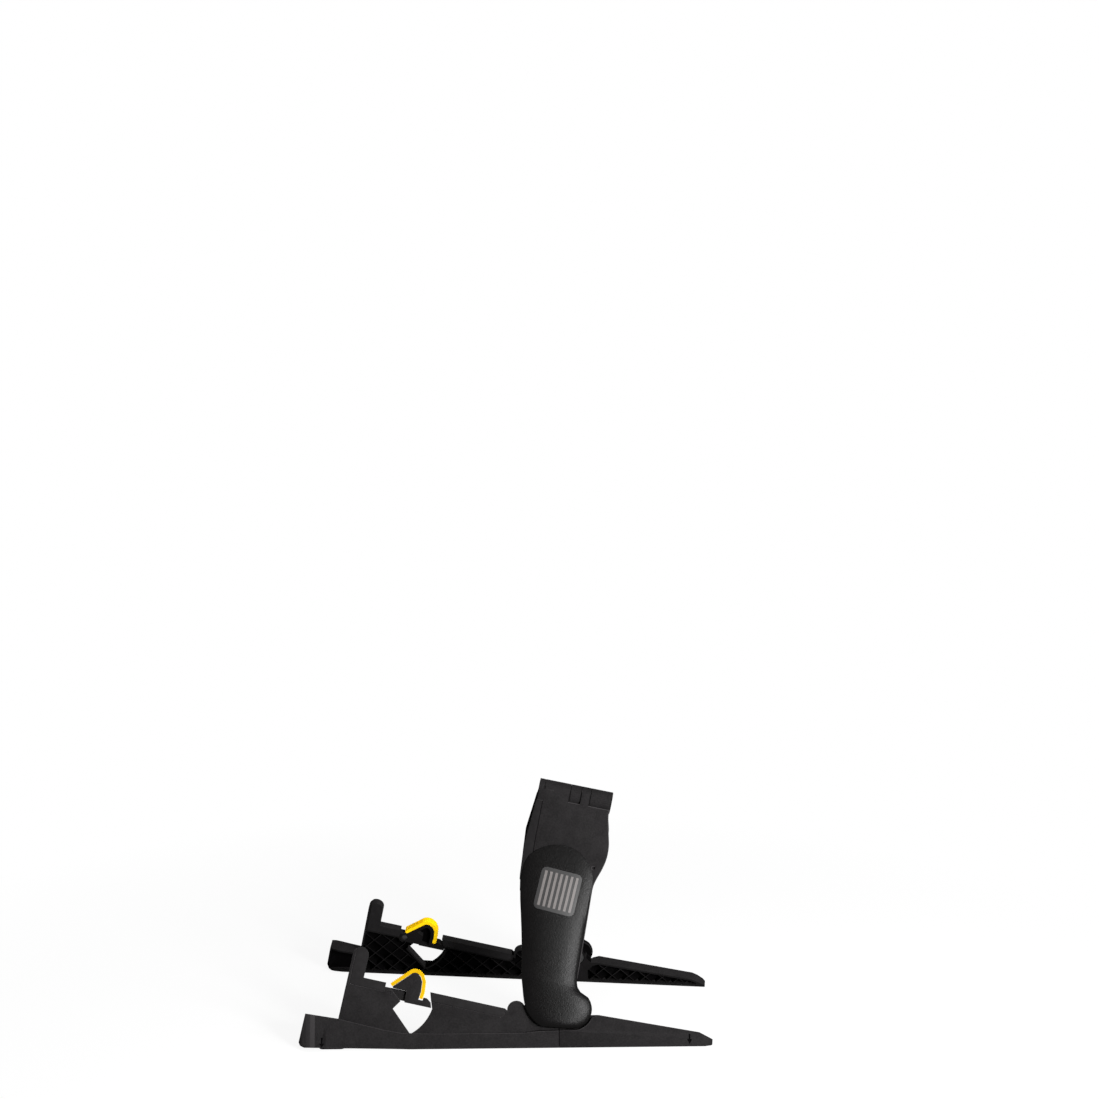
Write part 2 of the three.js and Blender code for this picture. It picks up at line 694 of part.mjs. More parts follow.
// The cradle plate, from its root in the bar round the hook, the floor and the knuckle to the heel
function plateOutline(frontPoints) {
  const rise = frontPivot.rise;
  return [
    plateRoot,
    ...inLeg([
      ...frontPoints,
      [liner.length + seatGap, linerSeat],
      [liner.length + seatGap, -ledge.drop],
      [flapAlong - ledge.pinMargin, -ledge.drop],
      [flapAlong + ledge.slopeRun, -ledge.slopeDrop],
      [flapAlong + ledge.noseRun, -ledge.noseDrop],
      ...arc([flapAlong, -flap.drop], flap.span + fan.gap, fan.low, fan.high, fan.steps),
      ...shiftLine(stripSeat, -seatGap, false),
      ...arc([stripEnd + bump.run, bump.rise], bump.radius, bump.start, bump.end, bump.steps),
    ]),
    [-pivot.knuckleRadius * Math.SQRT1_2, rise + pivot.knuckleRadius * Math.SQRT1_2],
    [0, rise],
    [pivot.knuckleRadius, rise],
    [heelEnd, heelHeight],
    [heelEnd, -heel.below],
    [plateRoot[0], -heel.below],
  ];
}

// Degrees of the hook's round top that a plastic lip of this width takes
function lipTurn(width) {
  return THREE.MathUtils.radToDeg(Math.acos(1 - 2 * width / hook.width));
}

const hookCentre = [-hook.width / 2, hook.height - hook.width / 2];
const plateFull = plateOutline([
  ...arc(hookCentre, hook.width / 2, 180, 180 - lipTurn(hook.lip), hook.plasticSteps),
  [hook.lip - hook.width, linerSeat],
]);
const platePlain = plateOutline([[-hook.width, linerSeat]]);

function tongueSlab(start, end, grow) {
  const middle = (middleGap + legOuter) / 2;
  const [low, high] = [linerSeat - tongue.bury, linerSeat + tongue.height + grow];
  const outline = rectangle(start - grow, low, end + grow, high);
  return slab(inLeg(outline), middle - tongue.thickness / 2 - grow, middle + tongue.thickness / 2 + grow);
}

function linerTongue(grow) {
  return tongueSlab(tongue.margin - hook.width / 2, liner.length - tongue.margin, grow);
}

function stripTongue(grow) {
  return tongueSlab(stripStart + strip.toeRun + tongue.margin, stripEnd - tongue.margin, grow);
}

// Room for the flap's arm, cut at steps through its travel
function armPocket() {
  const radius = flap.armRadius + turnGap;
  const arm = rectangle(0, -radius, flap.armLength + turnGap, radius);
  const pin = new THREE.Vector2(flapAlong, -flap.drop);
  const origin = new THREE.Vector2();
  const cuts = Array.from({ length: flap.pocketSteps + 1 }, (_, step) => {
    const turn = radians(-flap.travel * step / flap.pocketSteps);
    const turned = arm.map(([x, y]) => new THREE.Vector2(x, y).rotateAround(origin, turn).add(pin).toArray());
    return slab(inLeg(turned), middleGap - overrun, flapPocketTop);
  });
  const [centre] = inLeg([pin.toArray()]);
  return Manifold.union([...cuts, disc(centre, radius, middleGap - overrun, flapPocketTop)]);
}

// A moulded arrow, cut into a foot's outer face and pointing down at the floor
function arrowMark(x, face) {
  const tip = arrow.low;
  const neck = tip + arrow.headHeight;
  const top = tip + arrow.height;
  return slab([
    [x, tip],
    [x + arrow.head / 2, neck],
    [x + arrow.shaft / 2, neck],
    [x + arrow.shaft / 2, top],
    [x - arrow.shaft / 2, top],
    [x - arrow.shaft / 2, neck],
    [x - arrow.head / 2, neck],
  ], face - arrow.depth, face + overrun);
}

function knuckleCuts(centre) {
  const seat = middleGap + seatGap + pivot.headThickness + seatGap;
  return disc(centre, pivot.headRadius + turnGap, middleGap - overrun, seat)
    .add(disc(centre, pivot.bossRadius + turnGap, middleGap - overrun, legOuter + overrun));
}

function frontLeg() {
  const centre = [0, frontPivot.rise];
  const [pin] = inLeg([[flapAlong, -flap.drop]]);
  const skin = legOuter - wall;
  const cavity = slab(inset(platePlain, wall), middleGap - overrun, skin)
    .subtract(disc(pin, flap.bossRadius, -tall, tall))
    .add(legCavity(barSide, barPlan, -bar.cavityReach, wall))
    .subtract(slab(rectangle(-bar.cavityReach, -tall, tall, tall), -tall, tall))
    .subtract(belowFloorHeight(sole.gap + sole.recess + sole.floorWall, frontStance));
  const ribSpace = slab(inset(platePlain, wall - lattice.bite), middleGap, skin + lattice.bite)
    .add(legCavity(barSide, barPlan, -bar.cavityReach, wall - lattice.bite))
    .subtract(belowFloorHeight(sole.gap + sole.recess + lattice.bite, frontStance))
    .subtract(slab(rectangle(-tall, -tall, plateRoot[0], tall), -tall, tall));
  return slab(plateFull, middleGap, legOuter)
    .add(slab(barSide, middleGap, tall).intersect(solidFrom(upright(barPlan, -tall, tall))))
    .add(disc(centre, pivot.knuckleRadius, middleGap, legOuter))
    .subtract(cavity)
    .add(latticeWeb(-toeReach, 0, cradleHeight).intersect(ribSpace))
    .add(linerTongue(0))
    .add(stripTongue(0))
    .subtract(armPocket())
    .subtract(disc(pin, flapPin.radius + seatGap, middleGap, flapPocketTop + flapPin.depth))
    .subtract(knuckleCuts(centre))
    .subtract(belowFloorHeight(sole.gap, frontStance))
    .subtract(solePocket(frontFootPad, frontStance))
    .subtract(solePocket(frontHeelPad, frontStance))
    .subtract(arrowMark(arrow.frontRun - toeReach, barOuter + foot.flare));
}

function hookLiner() {
  const lip = hook.lip + seatGap;
  return slab(inLeg([
    [lip - hook.width, -liner.depth],
    [liner.length, -liner.depth],
    [liner.length, 0],
    [0, 0],
    ...arc(hookCentre, hook.width / 2, 0, 180 - lipTurn(lip), hook.steps),
  ]), middleGap, legOuter + liner.proud).subtract(linerTongue(seatGap));
}

function floorStrip() {
  return slab(inLeg([...stripSeat, [stripStart, 0]]), middleGap, legOuter + liner.proud)
    .subtract(stripTongue(seatGap));
}

// Flap, in a frame at its pin

function inFlap(shares) {
  return shares.map(([x, y]) => [x * flap.span, y * flap.span]);
}

const flapRidge = inFlap(flapRidgeShares);
const flapPinSeat = middleGap + seatGap + flapPin.headThickness;

function cradleFlap() {
  const edge = shiftLine(flapRidge, -flapPad.thickness - seatGap, false);
  const armTop = middleGap + flap.armThickness;
  const top = legOuter - flap.bodyInset;
  return slab([...inFlap(flapPlateShares), ...edge], middleGap, top)
    .subtract(slab(inFlap(flapHollowShares), middleGap - overrun, top - flap.skin))
    .add(disc([0, 0], flap.armRadius, middleGap, armTop))
    .add(slab(rectangle(0, -flap.armRadius, flap.armLength, flap.armRadius), middleGap, armTop))
    .subtract(disc([0, 0], flapPin.headRadius + turnGap, middleGap - overrun, flapPinSeat + seatGap))
    .subtract(disc([0, 0], flapPin.radius + turnGap, middleGap, top));
}

function flapPivotPin() {
  return disc([0, 0], flapPin.headRadius, middleGap + seatGap, flapPinSeat)
    .add(disc([0, 0], flapPin.radius, middleGap + seatGap, flapPocketTop + flapPin.depth - seatGap));
}

function flapCushion() {
  const under = shiftLine(flapRidge, -flapPad.thickness, false).reverse();
  return slab([...flapRidge, ...under], middleGap, legOuter + flapPad.proud);
}

// Rear leg

const rearAxis = [0, rearStance.rise];
const rearRoot = rearStance.rise - rear.rootDrop;
const rearSide = [
  [-heelEnd, -heel.below],
  [-heelEnd, heelHeight],
  ...arc(rearAxis, lobe.radius + heel.lobeGap, rear.arcStart, rear.arcEnd, rear.arcSteps),
  [rear.rootReach, rearRoot],
  [rear.reach - rear.tipRun, rear.shoulderHeight],
  [rear.reach, rear.tipHeight],
  [rear.reach - rear.lobeGap, -heel.below],
];
const rearPlan = [
  [-heelEnd, middleGap],
  ...rearTipShares.map(([reachShare, share]) => [reachShare * rear.reach, middleGap + share * barThickness]),
  [-heelEnd, barOuter],
];

function rearLeg() {
  const radius = pivot.knuckleRadius;
  const web = [
    [-radius, rearStance.rise],
    [-radius, 0],
    [rear.rootReach, 0],
    [rear.rootReach, rearRoot],
    [rear.neckReach, rearRoot],
    [radius, rearStance.rise],
  ];
  const tip = slab(rectangle(rear.reach - rear.tipWall, -tall, tall, tall), -tall, tall);
  const hollow = (thickness, floor) => legCavity(rearSide, rearPlan, rear.cavityStart, thickness)
    .subtract(tip)
    .subtract(belowFloorHeight(sole.gap + sole.recess + floor, rearStance));
  return slab(rearSide, middleGap, barOuter).intersect(solidFrom(upright(rearPlan, -tall, tall)))
    .add(slab(web, middleGap, legOuter))
    .add(disc(rearAxis, radius, middleGap, legOuter))
    .subtract(hollow(wall, sole.floorWall))
    .add(latticeWeb(0, rear.reach, rearRoot).intersect(hollow(wall - lattice.bite, lattice.bite)))
    .subtract(knuckleCuts(rearAxis))
    .subtract(belowFloorHeight(sole.gap, rearStance))
    .subtract(solePocket(rearHeelPad, rearStance))
    .subtract(solePocket(rearFootPad, rearStance))
    .subtract(arrowMark(rear.reach - arrow.rearRun, barOuter));
}

function pivotScrew() {
  const seat = middleGap + seatGap + pivot.headThickness;
  return disc([0, 0], pivot.headRadius, middleGap + seatGap, seat)
    .add(disc([0, 0], pivot.screwRadius, middleGap + seatGap, seat + pivot.screwDepth));
}

function coverScrewSolid() {
  const tip = coverInner + cover.bossHoleDepth - coverScrew.endGap;
  return disc([0, 0], coverScrew.headRadius, panelInner, panelInner + coverScrew.headThickness)
    .add(disc([0, 0], coverScrew.shankRadius, panelInner, tip));
}

// Assembly: one half's pieces in nested groups, used twice with the second half mirrored

function placed(name, [x, y], turn, ...children) {
  const frame = new THREE.Group();
  frame.name = name;
  frame.position.set(x, y, 0);
  frame.rotation.z = turn;
  frame.add(...children);
  return frame;
}

const shared = {
  post_cover: postCover(),
  badge_plate: badgePlate(),
  backrest_pad: backrestPad(),
  front_leg: frontLeg(),
  front_foot_pad: solePad(frontFootPad, 0, 0, sole.gap + sole.recess - seatGap, frontStance),
  front_heel_pad: solePad(frontHeelPad, 0, 0, sole.gap + sole.recess - seatGap, frontStance),
  hook_liner: hookLiner(),
  floor_strip: floorStrip(),
  flap: cradleFlap(),
  flap_pad: flapCushion(),
  flap_pin: flapPivotPin(),
  rear_leg: rearLeg(),
  rear_heel_pad: solePad(rearHeelPad, 0, 0, sole.gap + sole.recess - seatGap, rearStance),
  rear_foot_pad: solePad(rearFootPad, 0, 0, sole.gap + sole.recess - seatGap, rearStance),
  pivot_screw: pivotScrew(),
  cover_screw: coverScrewSolid(),
};

function halfStand(side) {
  const piece = (name, finish, solid = shared[name]) => node(`${side}_${name}`, solid, finish);
  const pinGroup = placed(`${side}_flap_frame`, [flapAlong, -flap.drop], 0,
    piece("flap", "plastic"), piece("flap_pad", "yellow"), piece("flap_pin", "steel"));
  const cradleGroup = placed(`${side}_cradle_frame`, [-cradleReach, cradleHeight], -cradle.tilt, pinGroup);
  const frontSole = placed(`${side}_front_sole_frame`, [0, -frontStance.rise], 0,
    piece("front_leg", "plastic"), piece("hook_liner", "rubber"), piece("floor_strip", "rubber"),
    piece("front_foot_pad", "rubber"), piece("front_heel_pad", "rubber"), cradleGroup);
  const rearSole = placed(`${side}_rear_sole_frame`, [0, -rearStance.rise], 0,
    piece("rear_leg", "plastic"), piece("rear_heel_pad", "rubber"), piece("rear_foot_pad", "rubber"));
  const screws = inPost(coverScrewShares).map((centre, index) => placed(
    `${side}_cover_screw_frame_${index + 1}`, centre, 0,
    piece(`cover_screw_${index + 1}`, "steel", shared.cover_screw),
  ));
  const half = new THREE.Group();
  half.name = `${side}_half_plane`;
  half.rotation.x = Math.PI / 2 - leanOut;
  half.add(
    piece("post_panel", "plastic", postPanel(side)),
    piece("post_cover", "plastic"),
    piece("badge_plate", "satin"),
    piece("backrest_pad", "rubber"),
    placed(`${side}_front_pivot_frame`, frontCentre, floorPitch, frontSole,
      piece("front_pivot_screw", "steel", shared.pivot_screw)),
    placed(`${side}_rear_pivot_frame`, rearCentre, floorPitch, rearSole,
      piece("rear_pivot_screw", "steel", shared.pivot_screw)),
    ...screws,
  );
  const wrapper = new THREE.Group();
  wrapper.name = `${side}_half`;
  wrapper.scale.y = side === "left" ? 1 : -1;
  wrapper.add(half);
  return wrapper;
}

function hingeParts() {
  const half = hinge.knuckleGap / 2;
  const start = hinge.borders[0] + half;
  const end = hinge.borders.at(-1) - half;
  const inside = hinge.capThickness + seatGap;
  return [
    node("hinge_pin", barrel(hinge.pinRadius, start + inside, end - inside), "steel"),
    node("hinge_front_cap", barrel(hinge.capRadius, start, start + hinge.capThickness), "plastic"),
    node("hinge_rear_cap", barrel(hinge.capRadius, end - hinge.capThickness, end), "plastic"),
  ];
}

const hingeFrame = new THREE.Group();
hingeFrame.name = "hinge_frame";
hingeFrame.position.z = hingeHeight;
hingeFrame.rotation.y = hingeTilt;
hingeFrame.add(...hingeParts(), halfStand("left"), halfStand("right"));

const stand = new THREE.Group();
stand.name = "folding_stand";
stand.add(hingeFrame);
stand.updateMatrixWorld(true);
const extent = new THREE.Box3().setFromObject(stand, true);
hingeFrame.position.x = -(extent.min.x + extent.max.x) / 2;
stand.updateMatrixWorld(true);

export default stand;
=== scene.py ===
# %% [markdown]
# # A folding A-frame stand in black plastic
#
# Two mirrored halves hang on one hinge. Each half is a post with a cradle leg in front, a rear
# leg behind and a small yellow flap in the cradle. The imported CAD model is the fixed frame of
# this file: every piece made here stands where its solid stands, and rides on the same body.

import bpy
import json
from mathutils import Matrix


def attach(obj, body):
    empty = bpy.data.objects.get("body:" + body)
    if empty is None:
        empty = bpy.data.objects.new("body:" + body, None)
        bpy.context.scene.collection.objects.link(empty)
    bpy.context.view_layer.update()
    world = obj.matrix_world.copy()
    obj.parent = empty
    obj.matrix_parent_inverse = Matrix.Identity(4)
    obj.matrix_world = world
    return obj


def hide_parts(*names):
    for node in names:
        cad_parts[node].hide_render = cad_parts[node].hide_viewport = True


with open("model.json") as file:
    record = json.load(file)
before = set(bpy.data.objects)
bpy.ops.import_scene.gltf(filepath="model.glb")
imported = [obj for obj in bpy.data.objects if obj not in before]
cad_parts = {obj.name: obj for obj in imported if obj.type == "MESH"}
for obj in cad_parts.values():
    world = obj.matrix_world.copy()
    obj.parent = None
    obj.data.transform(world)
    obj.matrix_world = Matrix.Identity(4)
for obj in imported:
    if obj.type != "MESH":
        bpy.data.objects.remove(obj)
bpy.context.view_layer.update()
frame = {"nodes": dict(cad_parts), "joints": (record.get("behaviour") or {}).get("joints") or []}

# %% Tools of the trade
import json
from math import cos, exp, pi, radians, sin

import bmesh
import bpy
from mathutils import Euler, Matrix, Vector
from mathutils.bvhtree import BVHTree
from mathutils.kdtree import KDTree

scene = bpy.context.scene
sides = ("left", "right")
millimetre = 0.001
print("solids to dress:", len(frame["nodes"]))

# %% [markdown]
# ## The camera
#
# The photograph was taken from the left of the stand, a little from above and from more than two
# metres away, so the two halves look almost alike in size. A camera is three things: a place,
# a direction and a lens. The place is measured from the hinge, the tallest point of the stand.
# The direction is a turn about the vertical, a tilt down and a small roll about the view line.

# %% Camera
hinge_joint = next(joint for joint in frame["joints"] if joint["name"] == "spread")
hinge_point = Vector(hinge_joint["pos_m"])
camera_offset = Vector((0.0553, -2.1351, 0.5779))
camera_turn = radians(1.318)
camera_tilt = radians(8.917)
camera_roll = radians(0.468)

camera_data = bpy.data.cameras.new("photo_view")
camera_data.sensor_width = 36
camera_data.lens = 72.05
camera = bpy.data.objects.new("photo_view", camera_data)
camera.location = hinge_point + camera_offset
aim = Euler((pi / 2 - camera_tilt, 0, camera_turn)).to_matrix()
camera.rotation_euler = (aim @ Matrix.Rotation(camera_roll, 3, "Z")).to_euler()
scene.collection.objects.link(camera)
scene.camera = camera
print("camera at", [round(value, 3) for value in camera.location])

# %% [markdown]
# ## Floor, backdrop and light
#
# The stand is a black thing on pure white. White comes from the backdrop and not from strong
# lamps: what the camera, a gloss or a glass looks at is a plain white of strength one, while the
# light that falls on the stand is weaker. Light Path tells these rays apart.

# %% Nodes by hand
def seen_directly(tree):
    """One for rays from the camera and rays that a gloss or a glass sends on, otherwise zero."""
    path = tree.nodes.new("ShaderNodeLightPath")
    total = None
    for ray in ("Is Camera Ray", "Is Glossy Ray", "Is Transmission Ray"):
        if total is None:
            total = path.outputs[ray]
            continue
        step = tree.nodes.new("ShaderNodeMath")
        step.operation = "MAXIMUM"
        tree.links.new(total, step.inputs[0])
        tree.links.new(path.outputs[ray], step.inputs[1])
        total = step.outputs["Value"]
    return total


print("helpers for nodes are ready")

# %% World
fill_light = 0.1
world = bpy.data.worlds.new("studio")
world.use_nodes = True
tree = world.node_tree
background = tree.nodes["Background"]
background.inputs["Color"].default_value = (1, 1, 1, 1)
strength = tree.nodes.new("ShaderNodeMapRange")
strength.inputs["To Min"].default_value = fill_light
strength.inputs["To Max"].default_value = 1
tree.links.new(seen_directly(tree), strength.inputs["Value"])
tree.links.new(strength.outputs["Result"], background.inputs["Strength"])
scene.world = world
scene.view_settings.view_transform = "Standard"
print("fill light", fill_light)

# %% [markdown]
# The floor is a wide plane. Near the stand it is matte and nearly white, so it takes the shadow
# of the feet, and further out it turns into the white of the backdrop and no edge shows.

# %% Floor
floor_size = 8
floor_bounce = (0.22, 0.22, 0.22, 1)
floor_white = (0.9, 0.9, 0.9, 1)
floor_glow = 0.87
fade_start, fade_end = 0.2, 0.75
bpy.ops.mesh.primitive_plane_add(size=floor_size)
floor = bpy.context.object
floor.name = "studio_floor"
floor_finish = bpy.data.materials.new("studio_floor")
floor_finish.use_nodes = True
tree = floor_finish.node_tree
matte = tree.nodes["Principled BSDF"]
bounce = tree.nodes.new("ShaderNodeMix")
bounce.data_type = "RGBA"
bounce.inputs["A"].default_value = floor_bounce
bounce.inputs["B"].default_value = floor_white
tree.links.new(seen_directly(tree), bounce.inputs["Factor"])
tree.links.new(bounce.outputs["Result"], matte.inputs["Base Color"])
matte.inputs["Roughness"].default_value = 0.9
matte.inputs["Specular IOR Level"].default_value = 0.1
glow = tree.nodes.new("ShaderNodeEmission")
place = tree.nodes.new("ShaderNodeTexCoord")
distance = tree.nodes.new("ShaderNodeVectorMath")
distance.operation = "LENGTH"
away = tree.nodes.new("ShaderNodeMapRange")
away.inputs["From Min"].default_value = fade_start
away.inputs["From Max"].default_value = fade_end
away.inputs["To Min"].default_value = floor_glow
away.inputs["To Max"].default_value = 1
share = tree.nodes.new("ShaderNodeMath")
share.operation = "MULTIPLY"
blend = tree.nodes.new("ShaderNodeMixShader")
tree.links.new(place.outputs["Object"], distance.inputs[0])
tree.links.new(distance.outputs["Value"], away.inputs["Value"])
tree.links.new(away.outputs["Result"], share.inputs[0])
tree.links.new(seen_directly(tree), share.inputs[1])
tree.links.new(share.outputs["Value"], blend.inputs["Fac"])
tree.links.new(matte.outputs["BSDF"], blend.inputs[1])
tree.links.new(glow.outputs["Emission"], blend.inputs[2])
tree.links.new(blend.outputs["Shader"], tree.nodes["Material Output"].inputs["Surface"])
floor.data.materials.append(floor_finish)
print("floor", floor_size, "m wide")

# %% [markdown]
# Three soft boxes do the work of the studio. One stands far to the camera's right and lights the
# rounded rear of the covers, and one hangs above and draws a line of light along the hinge barrel.
# The strongest stands low beside the camera, lights the outer faces and gives the crowned covers
# their broad upright gloss. An area lamp shines along its own minus Z, so a track quaternion turns
# it to the stand.

# %% Soft boxes
lamp_target = Vector((0, 0, 0.1))


def soft_box(name, towards, away, wide, tall, watts):
    """An area lamp in the given direction from the middle of the stand, turned to face it."""
    data = bpy.data.lights.new(name, "AREA")
    data.shape = "RECTANGLE"
    data.size, data.size_y = wide, tall
    data.energy = watts
    box = bpy.data.objects.new(name, data)
    direction = Vector(towards).normalized()
    box.location = lamp_target + direction * away
    box.rotation_euler = direction.to_track_quat("Z", "Y").to_euler()
    scene.collection.objects.link(box)
    print(name, [round(value, 2) for value in box.location], watts, "W")


soft_box("side_box", (0.74, -0.6, 0.3), 1.6, 0.36, 0.5, 17)
soft_box("top_box", (0.05, -0.26, 0.96), 1.6, 0.9, 0.4, 13)
soft_box("gloss_box", (0.5, -0.82, 0.24), 1.6, 0.34, 0.5, 52)

# %% [markdown]
# ## Finishes
#
# The stand is made of plastic, rubber and steel. Each finish is one Principled shader whose
# colour, roughness and bump come from noise at the size of the real grain. The patterns read
# Object coordinates, which are metres here, so a noise of scale 1000 has one bump a millimetre.

# %% Finish helpers
def new_finish(name):
    """A material with its node tree, its shader and its object coordinates."""
    finish = bpy.data.materials.new(name)
    finish.use_nodes = True
    tree = finish.node_tree
    place = tree.nodes.new("ShaderNodeTexCoord")
    return finish, tree, tree.nodes["Principled BSDF"], place.outputs["Object"]


def grain(tree, place, size, detail=2, roughness=0.5):
    """Noise whose blobs are about as large as size, in metres."""
    texture = tree.nodes.new("ShaderNodeTexNoise")
    texture.inputs["Scale"].default_value = 1 / size
    texture.inputs["Detail"].default_value = detail
    texture.inputs["Roughness"].default_value = roughness
    tree.links.new(place, texture.inputs["Vector"])
    return texture.outputs["Fac"]


def spread_over(tree, value, low, high, start=0.3, end=0.7):
    """Maps the middle of a noise onto the range from low to high."""
    mapped = tree.nodes.new("ShaderNodeMapRange")
    mapped.inputs["From Min"].default_value = start
    mapped.inputs["From Max"].default_value = end
    mapped.inputs["To Min"].default_value = low
    mapped.inputs["To Max"].default_value = high
    tree.links.new(value, mapped.inputs["Value"])
    return mapped.outputs["Result"]


def two_tones(tree, value, first, second):
    """Mixes two colours by a value from zero to one."""
    mixed = tree.nodes.new("ShaderNodeMix")
    mixed.data_type = "RGBA"
    mixed.inputs["A"].default_value = (*first, 1)
    mixed.inputs["B"].default_value = (*second, 1)
    tree.links.new(value, mixed.inputs["Factor"])
    return mixed.outputs["Result"]


def calculated(tree, operation, first, second):
    """One sum or product of two values, each a number or a socket."""
    step = tree.nodes.new("ShaderNodeMath")
    step.operation = operation
    for socket, value in zip(step.inputs, (first, second)):
        if isinstance(value, (int, float)):
            socket.default_value = value
        else:
            tree.links.new(value, socket)
    return step.outputs["Value"]


def face_value(tree, name):
    """What a face attribute says, as a number."""
    attribute = tree.nodes.new("ShaderNodeAttribute")
    attribute.attribute_name = name
    return attribute.outputs["Fac"]


def relief(tree, shader, height, depth):
    """Bumps a shader by a height from zero to one, depth metres deep."""
    bump = tree.nodes.new("ShaderNodeBump")
    bump.inputs["Strength"].default_value = 1
    bump.inputs["Distance"].default_value = depth
    tree.links.new(height, bump.inputs["Height"])
    tree.links.new(bump.outputs["Normal"], shader.inputs["Normal"])


print("helpers for finishes are ready")

# %% [markdown]
# Moulded plastic is matte from its spark-eroded mould. Two noises make it: clouds the size of a
# thumb, which are the flow marks of the melt, and a fine grain, which sparkles in the gloss. Where
# a face attribute named rim is one, the surface is a little smoother, as edges rubbed by hands and
# cases are, and its colour is lighter: partly that wear, and partly a painted highlight for the
# thin line of light along a rounded rim.

# %% Moulded plastic
cloud_size = 11 * millimetre
rim_wear_and_highlight = 2.2
rim_polish = -0.12
dull_play = 0.06


def moulded_plastic(name, dark, light, dull, shine, grain_size, grain_depth):
    """Near-black plastic with clouds, a fine grain and smoother rims, lighter from wear and a painted
    highlight.
    """
    finish, tree, shader, place = new_finish(name)
    clouds = spread_over(tree, grain(tree, place, cloud_size, detail=5, roughness=0.6), 0.2, 0.8)
    fine = grain(tree, place, grain_size, detail=3, roughness=0.6)
    speckle = spread_over(tree, fine, -0.6, 0.6)
    tone = two_tones(tree, calculated(tree, "ADD", clouds, speckle), dark, light)
    # Rims are lighter: partly wear, partly a painted highlight along the rounded edges.
    tone_change = two_tones(tree, face_value(tree, "rim"), (0, 0, 0), [rim_wear_and_highlight * value for value in light])
    tree.links.new(tone, tone_change.node.inputs["A"])
    tree.links.new(tone_change, shader.inputs["Base Color"])
    rubbed = calculated(tree, "MULTIPLY", face_value(tree, "rim"), rim_polish)
    rough = calculated(tree, "ADD", spread_over(tree, fine, dull - dull_play, dull + dull_play), rubbed)
    tree.links.new(rough, shader.inputs["Roughness"])
    shader.inputs["Specular IOR Level"].default_value = shine
    relief(tree, shader, fine, grain_depth)
    return finish


charcoal = moulded_plastic("charcoal_plastic", (0.0056, 0.0052, 0.0054), (0.0104, 0.0097, 0.01), 0.8, 0.04,
                           1.3 * millimetre, 0.12 * millimetre)
satin_charcoal = moulded_plastic("satin_charcoal", (0.0008, 0.0007, 0.0007), (0.0016, 0.0014, 0.0014),
                                 0.34, 0.06, 1.3 * millimetre, 0.2 * millimetre)
print("finishes", charcoal.name, satin_charcoal.name)

# %% [markdown]
# Inside the hollow legs and panels the plastic is the same, and it looks dark there only because
# little light gets in. Two darker copies of it are painted shade: one for the inner faces, and a
# blacker one for the bottom of the channels, for the walls of the ribs and for narrow gaps.

# %% Painted shade of the hollows
deep_painted_shade = moulded_plastic("deep_shade_plastic", (0.0014, 0.0013, 0.0014), (0.0022, 0.002, 0.0021),
                               0.9, 0, 0.9 * millimetre, 0.04 * millimetre)
inner_painted_shade = moulded_plastic("inner_shade_plastic", (0.0042, 0.0039, 0.004), (0.0068, 0.0063, 0.0065),
                              0.82, 0.02, 0.8 * millimetre, 0.03 * millimetre)
print("finishes", deep_painted_shade.name, inner_painted_shade.name)

# %% [markdown]
# The rubbers are softer and smoother than the plastic. Black rubber is about as dark as it, and on
# the back strips it is worn a shade darker. The yellow one on the flap is saturated, with a faint
# chalky bloom, and its outward faces are painted a much darker ochre as painted shade.

# %% Rubbers
def soft_rubber(name, first, second, dull, shine, grain_size, grain_depth):
    """Rubber: an even colour with a faint bloom, a dull surface and a soft fine relief."""
    finish, tree, shader, place = new_finish(name)
    bloom = grain(tree, place, 5 * millimetre, detail=3)
    fine = grain(tree, place, grain_size)
    tone = two_tones(tree, spread_over(tree, bloom, 0, 1), first, second)
    tree.links.new(tone, shader.inputs["Base Color"])
    tree.links.new(spread_over(tree, fine, dull - 0.06, dull + 0.04), shader.inputs["Roughness"])
    shader.inputs["Specular IOR Level"].default_value = shine
    relief(tree, shader, fine, grain_depth)
    return finish


black_rubber = soft_rubber("black_rubber", (0.0078, 0.0073, 0.0075), (0.0105, 0.0099, 0.0102), 0.76, 0.035,
                           0.8 * millimetre, 0.02 * millimetre)
worn_rubber = soft_rubber("worn_rubber", (0.0056, 0.0052, 0.0054), (0.0078, 0.0073, 0.0075), 0.76, 0.03,
                          0.8 * millimetre, 0.02 * millimetre)
yellow_rubber = soft_rubber("yellow_rubber", (0.94, 0.57, 0.003), (0.98, 0.63, 0.005), 0.7, 0.05,
                            0.6 * millimetre, 0.02 * millimetre)
# A much darker yellow, painted shade for the pad's outward faces.
yellow_painted_shade = soft_rubber("yellow_painted_shade", (0.34, 0.2, 0.001), (0.38, 0.23, 0.0015), 0.75, 0.03,
                         0.6 * millimetre, 0.02 * millimetre)
print("finishes", black_rubber.name, worn_rubber.name, yellow_rubber.name, yellow_painted_shade.name)

# %% [markdown]
# Screws and pins are blackened steel: a dark coat over fine turning marks, with a cloudy gloss.

# %% Blackened steel
def blackened_steel(name):
    """Dark coated steel with a cloudy roughness and fine marks."""
    finish, tree, shader, place = new_finish(name)
    clouds = grain(tree, place, 2.5 * millimetre, detail=4)
    marks = grain(tree, place, 0.15 * millimetre)
    tone = two_tones(tree, spread_over(tree, clouds, 0, 1), (0.02, 0.02, 0.021), (0.035, 0.034, 0.034))
    tree.links.new(tone, shader.inputs["Base Color"])
    shader.inputs["Metallic"].default_value = 0.7
    tree.links.new(spread_over(tree, clouds, 0.36, 0.5), shader.inputs["Roughness"])
    relief(tree, shader, marks, 0.006 * millimetre)
    return finish


steel = blackened_steel("black_steel")
print("finish", steel.name)

# %% [markdown]
# The plaque is ribbed: its raised bars are a warm satin grey, as if wiped with paint, over a
# ground as dark as the cover. A face attribute named bar tells the two apart, and a fine grain
# runs through the paint.

